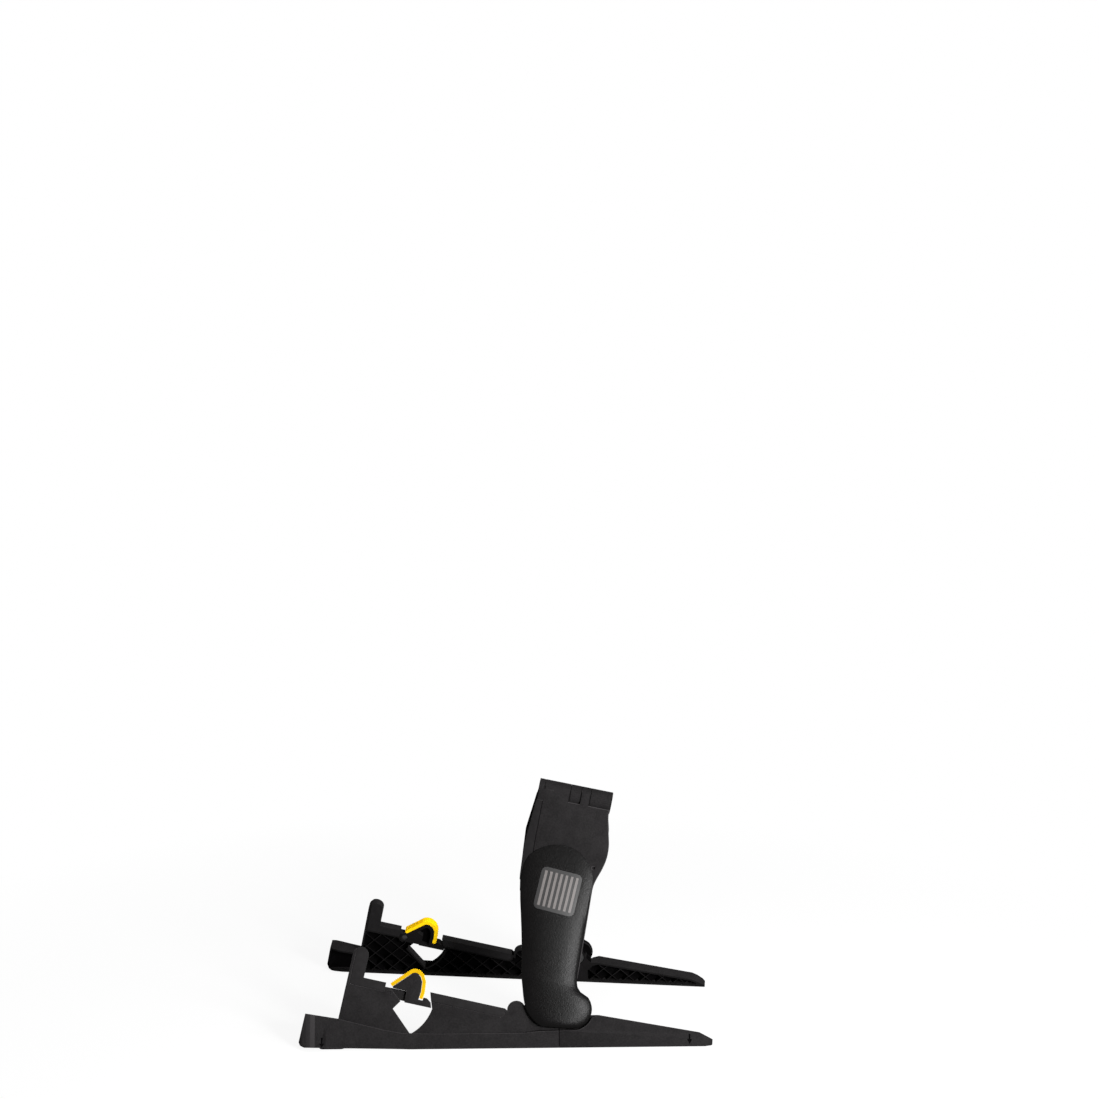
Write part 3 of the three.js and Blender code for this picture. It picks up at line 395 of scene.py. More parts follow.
# %% Plaque finish
def wiped_plaque(name, ground, paint):
    """Satin paint on the raised bars of a dark plate."""
    finish, tree, shader, place = new_finish(name)
    fine = grain(tree, place, 0.6 * millimetre, detail=3, roughness=0.6)
    tone_change = spread_over(tree, grain(tree, place, 6 * millimetre, detail=4), 0.86, 1)
    bar = calculated(tree, "MULTIPLY", face_value(tree, "bar"), tone_change)
    tree.links.new(two_tones(tree, bar, ground, paint), shader.inputs["Base Color"])
    tree.links.new(spread_over(tree, fine, 0.4, 0.52), shader.inputs["Roughness"])
    shader.inputs["Specular IOR Level"].default_value = 0.25
    relief(tree, shader, fine, 0.03 * millimetre)
    return finish


plaque_finish = wiped_plaque("wiped_plaque", (0.004, 0.0037, 0.0038), (0.075, 0.068, 0.066))
print("finish", plaque_finish.name)

# %% [markdown]
# ## Dressing a solid
#
# Most shapes of the stand are flat mouldings whose outlines the CAD solid has already. What it
# lacks is the small round along each outer rim, which catches a thin line of light on every
# moulding. A copy of the solid is merged, its flat faces are joined, and the edges round each
# outward face are found by their normals and bevelled.

# %% Directions of a half
def outward(side):
    """The direction out of a half, square to its panel, from the axis of its front leg."""
    joint = next(joint for joint in frame["joints"] if joint["name"] == f"{side}_front_leg_fold")
    axis = Vector(joint["axis"]).normalized()
    away_from_middle = -1 if side == "left" else 1
    return axis if axis.y * away_from_middle > 0 else -axis


def along_leg(side):
    """The direction along a half's legs, level and towards the rear."""
    look = outward(side)
    rearward = Vector((0, 0, 1)).cross(look).normalized()
    return rearward if rearward.x > 0 else -rearward


def joint_place(name):
    """Where a joint is, in metres."""
    return Vector(next(joint for joint in frame["joints"] if joint["name"] == name)["pos_m"])


def hinge_axis():
    """The direction along the hinge, towards the rear."""
    axis = Vector(hinge_joint["axis"]).normalized()
    return axis if axis.x > 0 else -axis


barrel_reach = 14 * millimetre
for side in sides:
    print(side, "looks", [round(value, 3) for value in outward(side)])

# %% [markdown]
# An operator works on all that is selected. These helpers clear the selection first, and then pick
# faces by a rule about their place or normal.

# %% Selection helpers
def select_only(piece):
    """Makes one piece active and selected, and nothing else."""
    bpy.ops.object.select_all(action="DESELECT")
    piece.select_set(True)
    bpy.context.view_layer.objects.active = piece


def pick_faces(piece, wanted):
    """Selects the faces that the wanted rule accepts and leaves the piece in edit mode."""
    select_only(piece)
    bpy.ops.object.mode_set(mode="EDIT")
    bpy.ops.mesh.select_mode(type="FACE")
    bpy.ops.mesh.select_all(action="DESELECT")
    bpy.ops.object.mode_set(mode="OBJECT")
    count = 0
    for face in piece.data.polygons:
        face.select = bool(wanted(face))
        count += face.select
    bpy.ops.object.mode_set(mode="EDIT")
    return count


def leave_edit_mode():
    """Goes back to object mode."""
    bpy.ops.object.mode_set(mode="OBJECT")


def copy_of(node_name, piece_name, joined=0.5):
    """A merged copy of a solid, whose triangles are joined where they turn by less than joined degrees."""
    piece = bpy.data.objects.new(piece_name, frame["nodes"][node_name].data.copy())
    scene.collection.objects.link(piece)
    piece.data.materials.clear()
    select_only(piece)
    bpy.ops.object.mode_set(mode="EDIT")
    bpy.ops.mesh.select_all(action="SELECT")
    bpy.ops.mesh.remove_doubles(threshold=0.01 * millimetre)
    bpy.ops.mesh.dissolve_limited(angle_limit=radians(joined))
    leave_edit_mode()
    return piece


print("helpers for selecting are ready")

# %% [markdown]
# Only convex edges get a rim. The bevel leaves its new faces selected, so the same step can mark
# them as rims, which the finish makes smoother and paints lighter, partly as wear and partly as a
# painted highlight. In edit mode the edges are picked by their number, because the rule needs the
# faces on both sides, which bmesh knows.

# %% Rim helper
sharp_edge = radians(40)
looks_along = 0.94
looks_flat = 0.985


def round_edges(piece, wanted, size, segments=2, plain=None):
    """Bevels the accepted convex edges and marks the new faces as rims: lighter for wear and a painted
    highlight.

    A face that looks along the plain direction lies between rims and is left unmarked.
    """
    mesh = bmesh.new()
    mesh.from_mesh(piece.data)
    edges = [edge.index for edge in mesh.edges
             if len(edge.link_faces) == 2 and edge.calc_face_angle_signed(0) > sharp_edge and wanted(edge)]
    mesh.free()
    select_only(piece)
    if "rim" not in piece.data.attributes:
        piece.data.attributes.new("rim", "FLOAT", "FACE")
    bpy.ops.object.mode_set(mode="EDIT")
    bpy.ops.mesh.select_mode(type="EDGE")
    bpy.ops.mesh.select_all(action="DESELECT")
    leave_edit_mode()
    for index in edges:
        piece.data.edges[index].select = True
    bpy.ops.object.mode_set(mode="EDIT")
    bpy.ops.mesh.bevel(offset=size, segments=segments, affect="EDGES", clamp_overlap=False)
    leave_edit_mode()
    rim = piece.data.attributes["rim"]
    for face in piece.data.polygons:
        if face.select and (plain is None or abs(face.normal.dot(plain)) < looks_flat):
            rim.data[face.index].value = 1
    return len(edges)


def round_rims(piece, direction, size, segments=2):
    """Rounds the edges round each face that looks along a direction."""
    def on_rim(edge):
        return any(face.normal.dot(direction) > looks_along for face in edge.link_faces)

    return round_edges(piece, on_rim, size, segments, direction)


print("helper for rims is ready")

# %% [markdown]
# Every piece ends the same way: smooth shading with sharp edges kept, its material, and the calls
# that tie it to its body and hide the solid it stands for. Hollow pieces have two more materials in
# their slots, painted shade for the faces that look into the stand and for those that face each other.

# %% Finishing helper
smooth_angle = radians(32)
inner_shade_slot, deep_shade_slot = 1, 2
looks_inward = -0.5
looks_sideways = 0.3
slant_play = 0.2
ray_start, ray_reach = 0.05 * millimetre, 60 * millimetre
cavity_level = -20 * millimetre


def finish_piece(piece, material, slot, body, *nodes):
    """Shades a piece, gives it its material and puts it in the place of its solids."""
    select_only(piece)
    bpy.ops.object.shade_smooth_by_angle(angle=smooth_angle)
    if not piece.data.materials:
        piece.data.materials.append(material)
    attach(piece, body)
    if nodes:
        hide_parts(*nodes)
    print(piece.name, "has", len(piece.data.polygons), "faces")


def paint_inward_shade(piece, look, outer, deep):
    """Paints shade on the faces that look inwards: darker, and darkest on those deeper than this."""
    for material in (outer, inner_painted_shade, deep_painted_shade):
        piece.data.materials.append(material)
    count = 0
    axis = hinge_axis()
    for face in piece.data.polygons:
        from_hinge = face.center - joint_place("spread")
        on_barrel = (from_hinge - axis * from_hinge.dot(axis)).length < barrel_reach
        if face.normal.dot(look) > looks_inward or on_barrel:
            continue
        depth = from_hinge.dot(look)
        face.material_index = deep_shade_slot if depth > deep else inner_shade_slot
        count += 1
    return count


def paint_wall_shade(piece, side):
    """Paints the darkest shade on the walls of the ribs and of the cavity, which face each other."""
    look, rearward = outward(side), along_leg(side)
    upward = look.cross(rearward).normalized()
    hinge_level = joint_place("spread").dot(look)
    surface = BVHTree.FromPolygons([vertex.co for vertex in piece.data.vertices],
                                   [tuple(face.vertices) for face in piece.data.polygons])
    count = 0
    for face in piece.data.polygons:
        if abs(face.normal.dot(look)) > looks_sideways:
            continue
        slanted = abs(abs(face.normal.dot(rearward)) - abs(face.normal.dot(upward))) < slant_play
        start = face.center + face.normal * ray_start
        walled = surface.ray_cast(start, face.normal, ray_reach)[0] is not None
        if walled and (slanted or face.center.dot(look) - hinge_level > cavity_level):
            face.material_index = deep_shade_slot
            count += 1
    return count


def paint_gap_shade(piece, wanted):
    """Paints the darkest shade on the faces that the wanted rule accepts, for the shade of deep gaps."""
    count = 0
    for face in piece.data.polygons:
        if wanted(face):
            face.material_index = deep_shade_slot
            count += 1
    return count


print("helpers for finishing are ready")

# %% [markdown]
# ## Post panels
#
# The panel is a flat plate that ends in the hinge knuckles. Its rims are rounder than those of the
# legs, because the hand takes it there. Between two knuckles and under them the real stand shows
# black lines, because light never reaches these narrow gaps, so their walls get the darkest painted
# shade.

# %% Post panels
panel_rim = 0.7 * millimetre
panel_deep = 4 * millimetre
below_barrel = -6 * millimetre
knuckle_wall, knuckle_floor, strip_wall = 0.25, 0.5, -0.3


def in_hinge_gap(face, front_end, rear_end):
    """Whether a face looks into a narrow gap: between two knuckles, under one, or beside the strip."""
    axis = hinge_axis()
    from_hinge = face.center - joint_place("spread")
    off_axis = from_hinge - axis * from_hinge.dot(axis)
    near = off_axis.length < barrel_reach
    along = face.center.dot(axis)
    inside = front_end + 2 * panel_rim < along < rear_end - 2 * panel_rim
    under_knuckle = face.normal.z > knuckle_floor and off_axis.z < below_barrel
    beside_strip = not near and face.normal.dot(axis) < strip_wall
    return near and inside and (abs(face.normal.dot(axis)) > knuckle_wall or under_knuckle) or beside_strip


for side in sides:
    look = outward(side)
    panel = copy_of(f"{side}_post_panel", f"{side}_panel")
    rims = round_rims(panel, look, panel_rim)
    print(side, "rim edges", rims, "hollow faces", paint_inward_shade(panel, look, charcoal, panel_deep))
    ends = [vertex.co.dot(hinge_axis()) for vertex in panel.data.vertices]
    print(side, "gap faces", paint_gap_shade(panel, lambda face: in_hinge_gap(face, min(ends), max(ends))))
    finish_piece(panel, charcoal, "charcoal_plastic", f"{side}_post", f"{side}_post_panel")

# %% [markdown]
# ## Covers
#
# The cover is crowned like a pebble, and its satin skin carries one broad gloss down to the lobe.
# Where the plaque is let in, the cut leaves thin triangles, and shading would show them as streaks.
# Round the plaque each corner is therefore shaded by the mean of the crown's normals nearby, the
# near and large triangles weighing most. A KD tree finds them quickly.

# %% Covers
flat_join = 0.05
crown_turn = 0.85
plaque_reach = 20 * millimetre
shade_blur = 4 * millimetre
shade_full = 34 * millimetre
shade_fade = 5 * millimetre
shade_margin = 10 * millimetre


def crown_samples(side, look):
    """Centres, normals and areas of the crown's triangles, on the cover and on the plaque in it."""
    samples = []
    for name in ("post_cover", "badge_plate"):
        mesh = frame["nodes"][f"{side}_{name}"].data
        mesh.calc_loop_triangles()
        plate = frame["nodes"][f"{side}_badge_plate"].data
        corners = [vertex.co for vertex in plate.vertices]
        middle = sum(corners, Vector()) / len(corners)
        for triangle in mesh.loop_triangles:
            under_plaque = name == "post_cover" and (triangle.center - middle).length < plaque_reach
            if triangle.normal.dot(look) > crown_turn and not under_plaque:
                samples.append((triangle.center.copy(), triangle.normal.copy(), triangle.area))
    return samples, middle


def even_shading(piece, side):
    """Shades the crown near the plaque by the mean of the normals around, so a cut leaves no mark."""
    look = outward(side)
    samples, middle = crown_samples(side, look)
    tree = KDTree(len(samples))
    for index, sample in enumerate(samples):
        tree.insert(sample[0], index)
    tree.balance()
    outermost = shade_full + shade_fade
    means = {}
    normals = [corner.vector.copy() for corner in piece.data.corner_normals]
    for face in piece.data.polygons:
        if face.normal.dot(look) < crown_turn or (face.center - middle).length > outermost + shade_margin:
            continue
        for loop_index in face.loop_indices:
            vertex = piece.data.loops[loop_index].vertex_index
            place = piece.data.vertices[vertex].co
            if vertex not in means:
                mean = Vector()
                for _, index, gap in tree.find_range(place, 3 * shade_blur):
                    mean += samples[index][1] * samples[index][2] * exp(-(gap / shade_blur) ** 2 / 2)
                means[vertex] = mean.normalized()
            share = min(1, max(0, (outermost - (place - middle).length) / shade_fade))
            normals[loop_index] = normals[loop_index].lerp(means[vertex], share).normalized()
    piece.data.normals_split_custom_set(normals)
    print(piece.name, "evenly shaded corners", len(means))


for side in sides:
    cover = copy_of(f"{side}_post_cover", f"{side}_cover", joined=flat_join)
    finish_piece(cover, satin_charcoal, "charcoal_plastic", f"{side}_post", f"{side}_post_cover")
    even_shading(cover, side)

# %% [markdown]
# ## Plaques
#
# The raised bars of the plaque are told from its ground by where they are across the plate. Seven
# bars and six grooves of one width lie between two margins, turned a little from the hinge axis.

# %% Plaques
plaque_width = 41 * millimetre
plaque_margin = 3.5 * millimetre
groove_count = 6
groove_half = 17.4 * millimetre
plaque_turn = radians(-3)
plaque_face = 0.7
groove_pitch = (plaque_width - 2 * plaque_margin) / (2 * groove_count + 1)
for side in sides:
    look = outward(side)
    across = hinge_axis()
    upward = look.cross(across) if side == "left" else across.cross(look)
    across, upward = (across * cos(plaque_turn) + upward * sin(plaque_turn),
                      upward * cos(plaque_turn) - across * sin(plaque_turn))
    plaque = copy_of(f"{side}_badge_plate", f"{side}_plaque", joined=flat_join)
    corners = [vertex.co for vertex in plaque.data.vertices]
    middle = []
    for line in (across, upward):
        places = [corner.dot(line) for corner in corners]
        middle.append((min(places) + max(places)) / 2)
    cuts = [(across, middle[0] + (step * groove_pitch + plaque_margin - plaque_width / 2))
            for step in range(2 * groove_count + 2)]
    cuts += [(upward, middle[1] + end * groove_half) for end in (-1, 1)]
    for line, place in cuts:
        pick_faces(plaque, lambda face: face.normal.dot(look) > plaque_face)
        bpy.ops.mesh.bisect(plane_co=line * place, plane_no=line)
        leave_edit_mode()
    bars = plaque.data.attributes.new("bar", "FLOAT", "FACE")
    raised = 0
    for face in plaque.data.polygons:
        place = face.center.dot(across) - middle[0]
        height = abs(face.center.dot(upward) - middle[1])
        cell = int((place + plaque_width / 2 - plaque_margin) // groove_pitch)
        on_bar = cell % 2 == 0 and 0 <= cell <= 2 * groove_count and height < groove_half
        if face.normal.dot(look) > plaque_face and on_bar:
            bars.data[face.index].value = 1
            raised += 1
    print(side, "painted faces", raised)
    finish_piece(plaque, plaque_finish, "plaque", f"{side}_post", f"{side}_badge_plate")
    even_shading(plaque, side)

# %% [markdown]
# ## Rubber strips and liners
#
# The back strip, the liner of the hook and the floor strip are cut from smooth rubber and pressed
# onto tongues. A pressed seam shows no light, so each copy is fattened by the seam's width, and
# its outer rims get the soft round of moulded rubber.

# %% Rubber strips and liners
pressed = 0.25 * millimetre
rubber_rim = 0.5 * millimetre
for side in sides:
    look = outward(side)
    for name, body, material in (("backrest_pad", "post", worn_rubber),
                                 ("hook_liner", "front_leg", black_rubber),
                                 ("floor_strip", "front_leg", black_rubber)):
        rubber = copy_of(f"{side}_{name}", f"{side}_{name}_rubber")
        pick_faces(rubber, lambda face: True)
        bpy.ops.transform.shrink_fatten(value=pressed, use_even_offset=True)
        leave_edit_mode()
        round_rims(rubber, look, rubber_rim, segments=3)
        finish_piece(rubber, material, "black_rubber", f"{side}_{body}", f"{side}_{name}")

# %% [markdown]
# ## Cuts
#
# Marks and driver recesses are sunk into a surface. A Boolean takes the shape of a simple solid,
# the tool, out of the piece, and the tool is thrown away. The exact solver keeps the mesh closed.

# %% Cutting helper
def cut_out(piece, tools):
    """Cuts each tool out of a piece with a Boolean."""
    for tool in tools:
        select_only(piece)
        cut = piece.modifiers.new("cut", "BOOLEAN")
        cut.operation = "DIFFERENCE"
        cut.solver = "EXACT"
        cut.object = tool
        bpy.ops.object.modifier_apply(modifier=cut.name)
        bpy.data.objects.remove(tool)


print("helper for cuts is ready")

# %% [markdown]
# An arrow is moulded into each leg near its tip and shows where the foot pad sits. A slim cube is
# its shaft and a cylinder of three sides its head. Both are sunk into the leg as cutters.

# %% Arrow helper
arrow_size = {"shaft": 1.5 * millimetre, "length": 2.7 * millimetre, "head": 2.7 * millimetre,
              "sunk": 0.9 * millimetre, "shaft_up": 2.2 * millimetre, "head_down": 1.9 * millimetre}


def arrow_tools(side, place):
    """The shaft and the head of an arrow that points down, as cutters at a place on the outer face."""
    look, rearward = outward(side), along_leg(side)
    upward = rearward.cross(look) if side == "right" else look.cross(rearward)
    turned = Matrix(((-upward).cross(look), -upward, look)).transposed().to_euler()
    bpy.ops.object.select_all(action="DESELECT")
    bpy.ops.mesh.primitive_cube_add(size=2, location=place + upward * arrow_size["shaft_up"], rotation=turned,
                                    scale=(arrow_size["shaft"] / 2, arrow_size["length"], arrow_size["sunk"]))
    shaft = bpy.context.object
    bpy.ops.mesh.primitive_cylinder_add(vertices=3, radius=arrow_size["head"], depth=2 * arrow_size["sunk"],
                                        location=place - upward * arrow_size["head_down"], rotation=turned)
    return [shaft, bpy.context.object]


print("helper for arrows is ready")

# %% [markdown]
# The seam between the two heels, the strip of heel under the cover and the sunk arrows look black
# on the real stand, because little light gets in. A rule finds their faces by place and normal, and
# they get the darkest painted shade.

# %% Gaps of the legs
arrow_reach, arrow_sunk = 6 * millimetre, -0.2 * millimetre
seam_reach = 0.9 * millimetre
cover_reach = 34 * millimetre
outer_face, nearly_outer, leans_up = 0.97, 0.9, 0.3


def in_leg_gap(face, look, rearward, seam, arrow_place):
    """Whether a face lies in the seam between the heels, under the cover's lower edge or in an arrow."""
    along = face.center.dot(rearward) - seam
    from_arrow = face.center - arrow_place
    sunk = from_arrow.length < arrow_reach and from_arrow.dot(look) < arrow_sunk
    in_seam = abs(along) < seam_reach and face.normal.dot(look) < outer_face
    leaning = face.normal.z > leans_up and face.normal.dot(look) < nearly_outer
    under_cover = abs(along) < cover_reach and leaning
    return sunk or in_seam or under_cover


print("rule for gaps is ready")

# %% [markdown]
# The heels of the two legs meet end to end under the post. In the solids they stand apart by the
# play that the folding needs, and here their end faces come forward to a hairline seam, as pressed
# plastic shows it. On the flare and nose of the front leg's foot a painted highlight is laid: each
# share of the leg's length gets its own lightness, in the rim attribute.

# %% Ends of the legs
slot_offsets = {"front": -0.1 * millimetre, "rear": 0.02 * millimetre}
slot_reach = 2.5 * millimetre
toe_reach = 239 * millimetre
# Painted highlight on the foot: shares of the leg's length from the pivot, and their lightness.
toe_highlight = ((0.922, 0.935, 0.35), (0.935, 0.953, 0.8), (0.953, 0.969, 0.35), (0.969, 1.01, 0.45))


def close_slot(leg, seam, rearward, rear):
    """Brings the end faces of a leg's heel and web close to the seam, so that no light shows through."""
    offset = slot_offsets["rear" if rear else "front"]
    towards = -rearward if rear else rearward
    ends = [face for face in leg.data.polygons if face.normal.dot(towards) > nearly_outer
            and abs(face.center.dot(rearward) - seam) < slot_reach]
    for index in {index for face in ends for index in face.vertices}:
        corner = leg.data.vertices[index]
        corner.co += rearward * (seam + offset - corner.co.dot(rearward))
    print(leg.name, "end faces at the seam", len(ends))


def paint_toe_highlight(leg, pivot, look, rearward):
    """Paints a highlight on the facets of the flared foot, each by its share of the way from the pivot."""
    rim = leg.data.attributes["rim"]
    for face in leg.data.polygons:
        share = (pivot - face.center.dot(rearward)) / toe_reach
        for low, high, value in toe_highlight:
            if low < share < high and face.normal.dot(look) > looks_sideways:
                rim.data[face.index].value = value


print("helpers for the ends of the legs are ready")

# %% [markdown]
# ## Legs
#
# Each leg is a channel, open towards the middle of the stand and stiffened by crossed ribs. Its
# outer rims are rounded: finely all along, a little more beside the seam, and most under the
# cover, where the rounded faces are painted black as the shadow under the cover's edge. The rims of
# the ribs stay plastic grey, and the walls of the ribs and the bottom of the channel are painted
# black as shade.

# %% Legs
leg_deep = 4.5 * millimetre
arrow_clear = 7 * millimetre
leg_rim = 0.35 * millimetre
seam_rim = 0.5 * millimetre
cover_rim = 0.9 * millimetre
front_arrow = {"along": -216.5 * millimetre, "below": -32.3 * millimetre, "out": 15.3 * millimetre}
rear_arrow = {"along": 113.7 * millimetre, "below": -30.1 * millimetre, "out": 12 * millimetre}
for side in sides:
    look = outward(side)
    for name in ("front_leg", "rear_leg"):
        leg = copy_of(f"{side}_{name}", f"{side}_{name}_channel")
        rearward = along_leg(side)
        upward = look.cross(rearward)
        upward = upward if upward.z > 0 else -upward
        arrow = front_arrow if name == "front_leg" else rear_arrow
        pivot_place = joint_place(f"{side}_{name}_fold")
        on_middle = pivot_place - look * (pivot_place - joint_place("spread")).dot(look)
        arrow_place = on_middle + rearward * arrow["along"] + upward * arrow["below"] + look * arrow["out"]
        cut_out(leg, arrow_tools(side, arrow_place))
        pivots = joint_place(f"{side}_front_leg_fold") + joint_place(f"{side}_rear_leg_fold")
        seam = pivots.dot(rearward) / 2
        close_slot(leg, seam, rearward, name == "rear_leg")

        def beside(edge):
            """How far the middle of an outer edge is from the seam, or nothing for an inner edge."""
            outer = any(face.normal.dot(look) > looks_along for face in edge.link_faces)
            middle = (edge.verts[0].co + edge.verts[1].co) / 2
            in_arrow = (middle - arrow_place).length < arrow_clear
            return abs(middle.dot(rearward) - seam) if outer and not in_arrow else None

        def beside_cover(edge):
            """Whether an outer edge runs along the heel's top, close to the cover."""
            near = beside(edge)
            on_top = any(face.normal.z > leans_up and face.normal.dot(look) < looks_sideways
                         for face in edge.link_faces)
            return near is not None and near < cover_reach and on_top

        rims = round_edges(leg, beside_cover, cover_rim, 1, look)
        rims += round_edges(leg, lambda edge: beside(edge) is not None and beside(edge) < millimetre,
                            seam_rim, 1, look)
        rims += round_edges(leg, lambda edge: beside(edge) is not None and beside(edge) > millimetre
                            and not beside_cover(edge), leg_rim, 2, look)
        hollow = paint_inward_shade(leg, look, charcoal, leg_deep)
        walls = paint_wall_shade(leg, side)
        gaps = paint_gap_shade(leg, lambda face: in_leg_gap(face, look, rearward, seam, arrow_place))
        print(side, name, "rim edges", rims, "hollow faces", hollow, "walls", walls, "gap faces", gaps)
        if name == "front_leg":
            paint_toe_highlight(leg, pivot_place.dot(rearward), look, rearward)
        finish_piece(leg, charcoal, "charcoal_plastic", f"{side}_{name}", f"{side}_{name}")

# %% [markdown]
# ## Flaps
#
# The flap is a small housing that turns on its pin, and its rubber carries rows of small domes for
# grip. One dome is modelled, half a flat ball, and copied over each outer face of the rubber. The
# edges that cross the rubber are rounded, so its ends and its bends are soft.

# %% One dome
dome_radius = 0.62 * millimetre
dome_height = 0.38 * millimetre
bpy.ops.object.select_all(action="DESELECT")
bpy.ops.mesh.primitive_uv_sphere_add(segments=8, ring_count=6, radius=dome_radius)
dome = bpy.context.object
dome.name = "dome"
bpy.ops.object.mode_set(mode="EDIT")
bpy.ops.mesh.bisect(plane_co=(0, 0, 0), plane_no=(0, 0, 1), clear_inner=True, use_fill=True)
bpy.ops.mesh.select_all(action="SELECT")
bpy.ops.transform.resize(value=(1, 1, dome_height / dome_radius))
leave_edit_mode()
print("dome faces", len(dome.data.polygons))

# %% Flaps
dome_pitch = 1.9 * millimetre
dome_rows = 4
dome_band = 7.6 * millimetre
shortest_run = 3.5 * millimetre
end_round = 1.1 * millimetre
flap_rim = 0.3 * millimetre
looks_out = 0.93
for side in sides:
    look = outward(side)
    flap = copy_of(f"{side}_flap", f"{side}_flap_housing")
    round_rims(flap, look, flap_rim)
    print(side, "flap hollow faces", paint_inward_shade(flap, look, charcoal, leg_deep))
    finish_piece(flap, charcoal, "charcoal_plastic", f"{side}_flap", f"{side}_flap")
    pad = copy_of(f"{side}_flap_pad", f"{side}_flap_rubber")
    middle = sum((vertex.co for vertex in pad.data.vertices), Vector()) / len(pad.data.vertices)
    spots = []
    for face in pad.data.polygons:
        if abs(face.normal.dot(look)) > looks_sideways or face.normal.dot(face.center - middle) < 0:
            continue
        line = look.cross(face.normal).normalized()
        ends = [(pad.data.vertices[index].co - face.center).dot(line) for index in face.vertices]
        length = max(ends) - min(ends)
        steps = round(length / dome_pitch)
        if length < shortest_run:
            continue
        for step in range(steps):
            for row in range(dome_rows):
                offset = line * ((step + 0.5) / steps - 0.5) * length
                offset += look * ((row + 0.5) / dome_rows - 0.5) * dome_band
                spots.append(Matrix.Translation(face.center + offset)
                             @ face.normal.to_track_quat("Z", "Y").to_matrix().to_4x4())

    def crosses(edge):
        """Whether an edge runs across the rubber."""
        return abs((edge.verts[0].co - edge.verts[1].co).normalized().dot(look)) > nearly_outer

    round_edges(pad, crosses, end_round, segments=3)
    domes = []
    for spot in spots:
        copied = bpy.data.objects.new("dome_copy", dome.data.copy())
        copied.data.transform(spot)
        scene.collection.objects.link(copied)
        domes.append(copied)
    select_only(pad)
    for copied in domes:
        copied.select_set(True)
    bpy.ops.object.join()
    print(side, "domes", len(spots))
    pad.data.materials.append(yellow_rubber)
    pad.data.materials.append(yellow_painted_shade)
    # The pad's outward faces get the darker yellow, a painted shade.
    for face in pad.data.polygons:
        shaded_face = face.normal.dot(look) > looks_out and face.area > millimetre ** 2
        face.material_index = 1 if shaded_face else 0
    finish_piece(pad, yellow_rubber, "yellow_rubber", f"{side}_flap", f"{side}_flap_pad")
bpy.data.objects.remove(dome)

# %% [markdown]
# ## Screws and pins
#
# A screw starts as a cylinder the size of its head. Its inner face is inset and drawn out into
# the shank, the outer rim is bevelled, and a driver shape is cut into the head with a Boolean: a
# hexagon in the wide pivot screws, and a cross in the small ones.

# %% Screw helper
same_depth = 0.05 * millimetre
head_rim, head_rim_share = 0.5 * millimetre, 0.4
shank_rim = 0.2 * millimetre
driver_shares = {"hexagon": 0.9, "cross": 0.62}
widest_driver = 4.5 * millimetre
driver_depth = 0.62
cross_arm = 0.32


def head_place(node, look):
    """The middle of a screw's head face, which looks into the stand, and the screw's length."""
    corners = frame["nodes"][node].data.vertices
    points = {tuple(round(value, 6) for value in corner.co) for corner in corners}
    depths = [Vector(point).dot(look) for point in points]
    face = [Vector(point) for point in points if Vector(point).dot(look) < min(depths) + same_depth]
    return sum(face, Vector()) / len(face), max(depths) - min(depths)


def driven_screw(name, node, look, head_radius, head_thickness, shank_radius, driver):
    """A headed screw, modelled from a cylinder, with its head to the middle of the stand."""
    centre, length = head_place(node, look)
    turn = look.to_track_quat("Z", "Y").to_euler()
    bpy.ops.object.select_all(action="DESELECT")
    bpy.ops.mesh.primitive_cylinder_add(vertices=48, radius=head_radius, depth=head_thickness,
                                        location=centre + look * head_thickness / 2, rotation=turn)
    screw = bpy.context.object
    screw.name = name
    bpy.ops.object.transform_apply(location=True, rotation=True, scale=True)
    pick_faces(screw, lambda face: face.normal.dot(look) > 0.9)
    bpy.ops.mesh.inset(thickness=head_radius - shank_radius)
    bpy.ops.mesh.extrude_region_move(TRANSFORM_OT_translate={"value": look * (length - head_thickness)})
    leave_edit_mode()
    round_rims(screw, -look, min(head_rim, head_thickness * head_rim_share), segments=3)
    round_rims(screw, look, shank_rim)
    reach = driver_shares[driver] * min(head_radius, widest_driver)
    depth = head_thickness * driver_depth
    tools = []
    if driver == "hexagon":
        bpy.ops.mesh.primitive_cylinder_add(vertices=6, radius=reach, depth=2 * depth,
                                            location=centre, rotation=turn)
        tools.append(bpy.context.object)
    else:
        for across, tall in ((reach, reach * cross_arm), (reach * cross_arm, reach)):
            bpy.ops.mesh.primitive_cube_add(size=2, location=centre, rotation=turn,
                                            scale=(across, tall, depth))
            tools.append(bpy.context.object)
    cut_out(screw, tools)
    return screw


print("helper for screws is ready")

# %% Screws and pins
pivot_screw = (10.2 * millimetre, 1.6 * millimetre, 2 * millimetre, "hexagon")
cover_screw = (3.1 * millimetre, 1.1 * millimetre, 1.2 * millimetre, "cross")
flap_pin = (3 * millimetre, 1.1 * millimetre, 1.6 * millimetre, "hexagon")
for side in sides:
    look = outward(side)
    for name in ("front_pivot_screw", "rear_pivot_screw"):
        screw = driven_screw(f"{side}_{name}_turned", f"{side}_{name}", look, *pivot_screw)
        finish_piece(screw, steel, "steel", f"{side}_post", f"{side}_{name}")
    for number in (1, 2, 3):
        name = f"cover_screw_{number}"
        screw = driven_screw(f"{side}_{name}_turned", f"{side}_{name}", look, *cover_screw)
        finish_piece(screw, steel, "steel", f"{side}_post", f"{side}_{name}")
    pin = driven_screw(f"{side}_flap_pin_turned", f"{side}_flap_pin", look, *flap_pin)
    finish_piece(pin, steel, "steel", f"{side}_front_leg", f"{side}_flap_pin")

# %% [markdown]
# ## Pin ends
#
# Where the flap's pin ends behind the cradle plate, the moulding shows a faint round mark: a low
# button with a dimple. It is a cylinder with its face inset twice, raised and sunk.

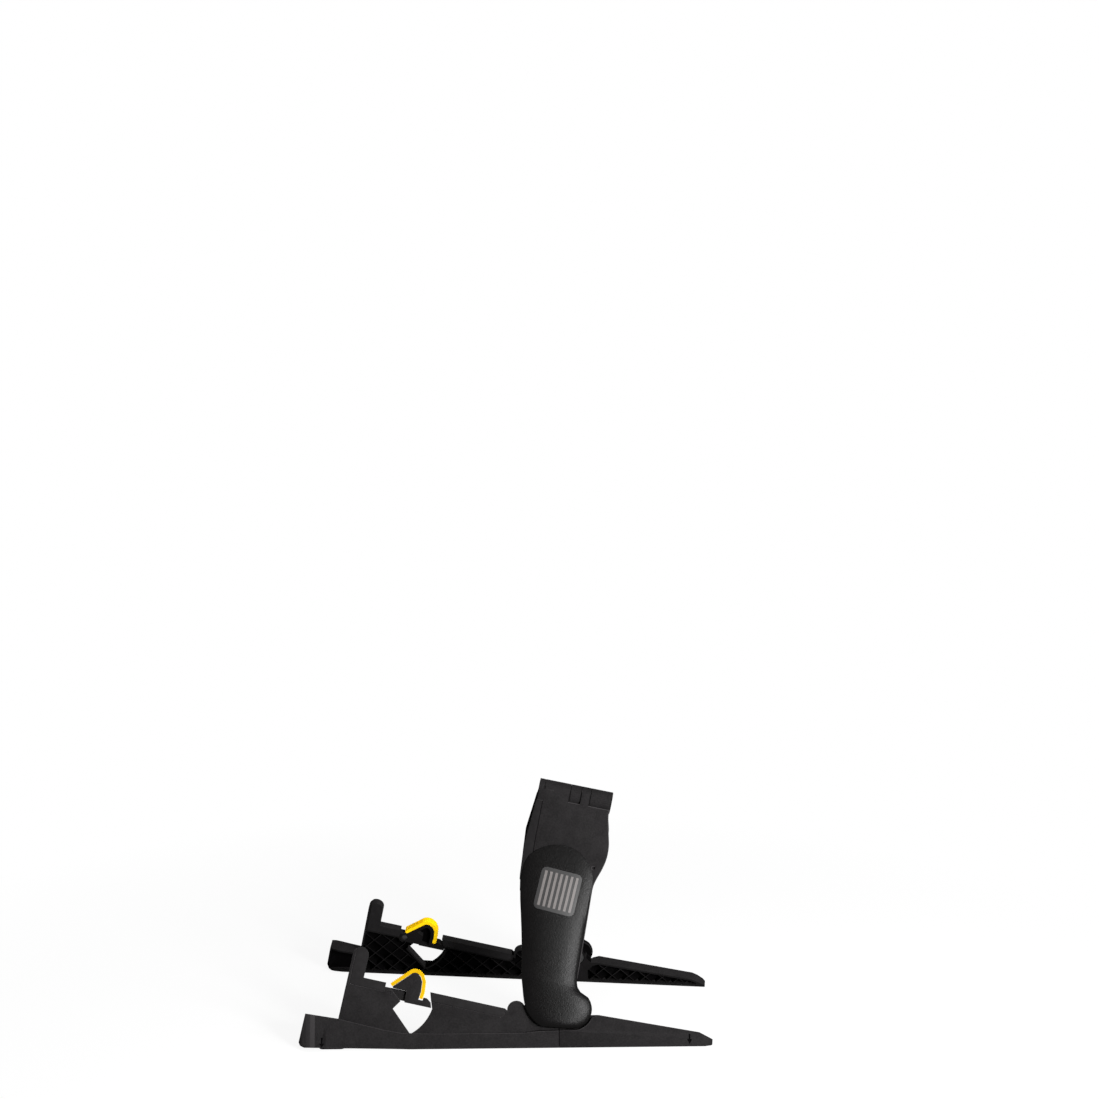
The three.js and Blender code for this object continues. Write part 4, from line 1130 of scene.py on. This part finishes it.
# %% Pin ends
button_radius = 2.3 * millimetre
button_height = 0.25 * millimetre
plate_outer = 8 * millimetre
button_rim = 0.12 * millimetre
button_border = 0.7 * millimetre
dimple_depth = 0.3 * millimetre
for side in sides:
    look = outward(side)
    bpy.ops.object.select_all(action="DESELECT")
    bpy.ops.mesh.primitive_cylinder_add(vertices=32, radius=button_radius, depth=2 * button_height,
                                        location=joint_place(f"{side}_flap_turn") + look * plate_outer,
                                        rotation=look.to_track_quat("Z", "Y").to_euler())
    button = bpy.context.object
    button.name = f"{side}_pin_button"
    bpy.ops.object.transform_apply(location=True, rotation=True, scale=True)
    round_rims(button, look, button_rim)
    pick_faces(button, lambda face: face.normal.dot(look) > 0.9 and len(face.vertices) > 8)
    bpy.ops.mesh.inset(thickness=button_border)
    bpy.ops.mesh.inset(thickness=button_rim)
    bpy.ops.transform.translate(value=-look * dimple_depth)
    leave_edit_mode()
    finish_piece(button, charcoal, "charcoal_plastic", f"{side}_front_leg")

# %% [markdown]
# ## Feet
#
# Eight rubber feet carry the stand. Each is pressed into the sole of a leg, has a soft rim and a
# shallow dish in its face, which grips the floor like a sucker.

# %% Feet
down = Vector((0, 0, -1))
straight = 0.99
foot_rim = 0.25 * millimetre
foot_border = 0.9 * millimetre
dish_slope = 0.3 * millimetre
dish_depth = 0.3 * millimetre
for side in sides:
    for name, body in (("front_foot_pad", "front_leg"), ("front_heel_pad", "front_leg"),
                       ("rear_heel_pad", "rear_leg"), ("rear_foot_pad", "rear_leg")):
        foot = copy_of(f"{side}_{name}", f"{side}_{name}_rubber")
        round_rims(foot, down, foot_rim)
        pick_faces(foot, lambda face: face.normal.dot(down) > straight)
        bpy.ops.mesh.inset(thickness=foot_border)
        bpy.ops.mesh.inset(thickness=dish_slope)
        bpy.ops.transform.translate(value=-down * dish_depth)
        leave_edit_mode()
        finish_piece(foot, black_rubber, "black_rubber", f"{side}_{body}", f"{side}_{name}")

# %% [markdown]
# ## Hinge caps
#
# Two caps close the ends of the hinge barrel. Each has a rounded rim and a dished face.

# %% Hinge caps
rear_end = hinge_axis()
cap_rim = 0.4 * millimetre
cap_border = 1.4 * millimetre
cap_depth = 0.35 * millimetre
for name, facing in (("hinge_front_cap", -rear_end), ("hinge_rear_cap", rear_end)):
    cap = copy_of(name, f"{name}_dished")
    round_rims(cap, facing, cap_rim, segments=3)
    pick_faces(cap, lambda face: face.normal.dot(facing) > straight)
    bpy.ops.mesh.inset(thickness=cap_border)
    bpy.ops.mesh.inset(thickness=cap_rim)
    bpy.ops.transform.translate(value=-facing * cap_depth)
    leave_edit_mode()
    finish_piece(cap, charcoal, "charcoal_plastic", "left_post", name)

# %% [markdown]
# The long hinge pin is all that is left of the CAD solids in view. It is a plain turned rod, so
# it stays as it is and only gets its steel.

# %% Hinge pin
for name, node in frame["nodes"].items():
    if not node.hide_render:
        node.data.materials.clear()
        node.data.materials.append(steel)
        print("kept", name)

# %% [markdown]
# ## End
#
# The dressing of the stand ends here.

# %% End
print("dressing done")
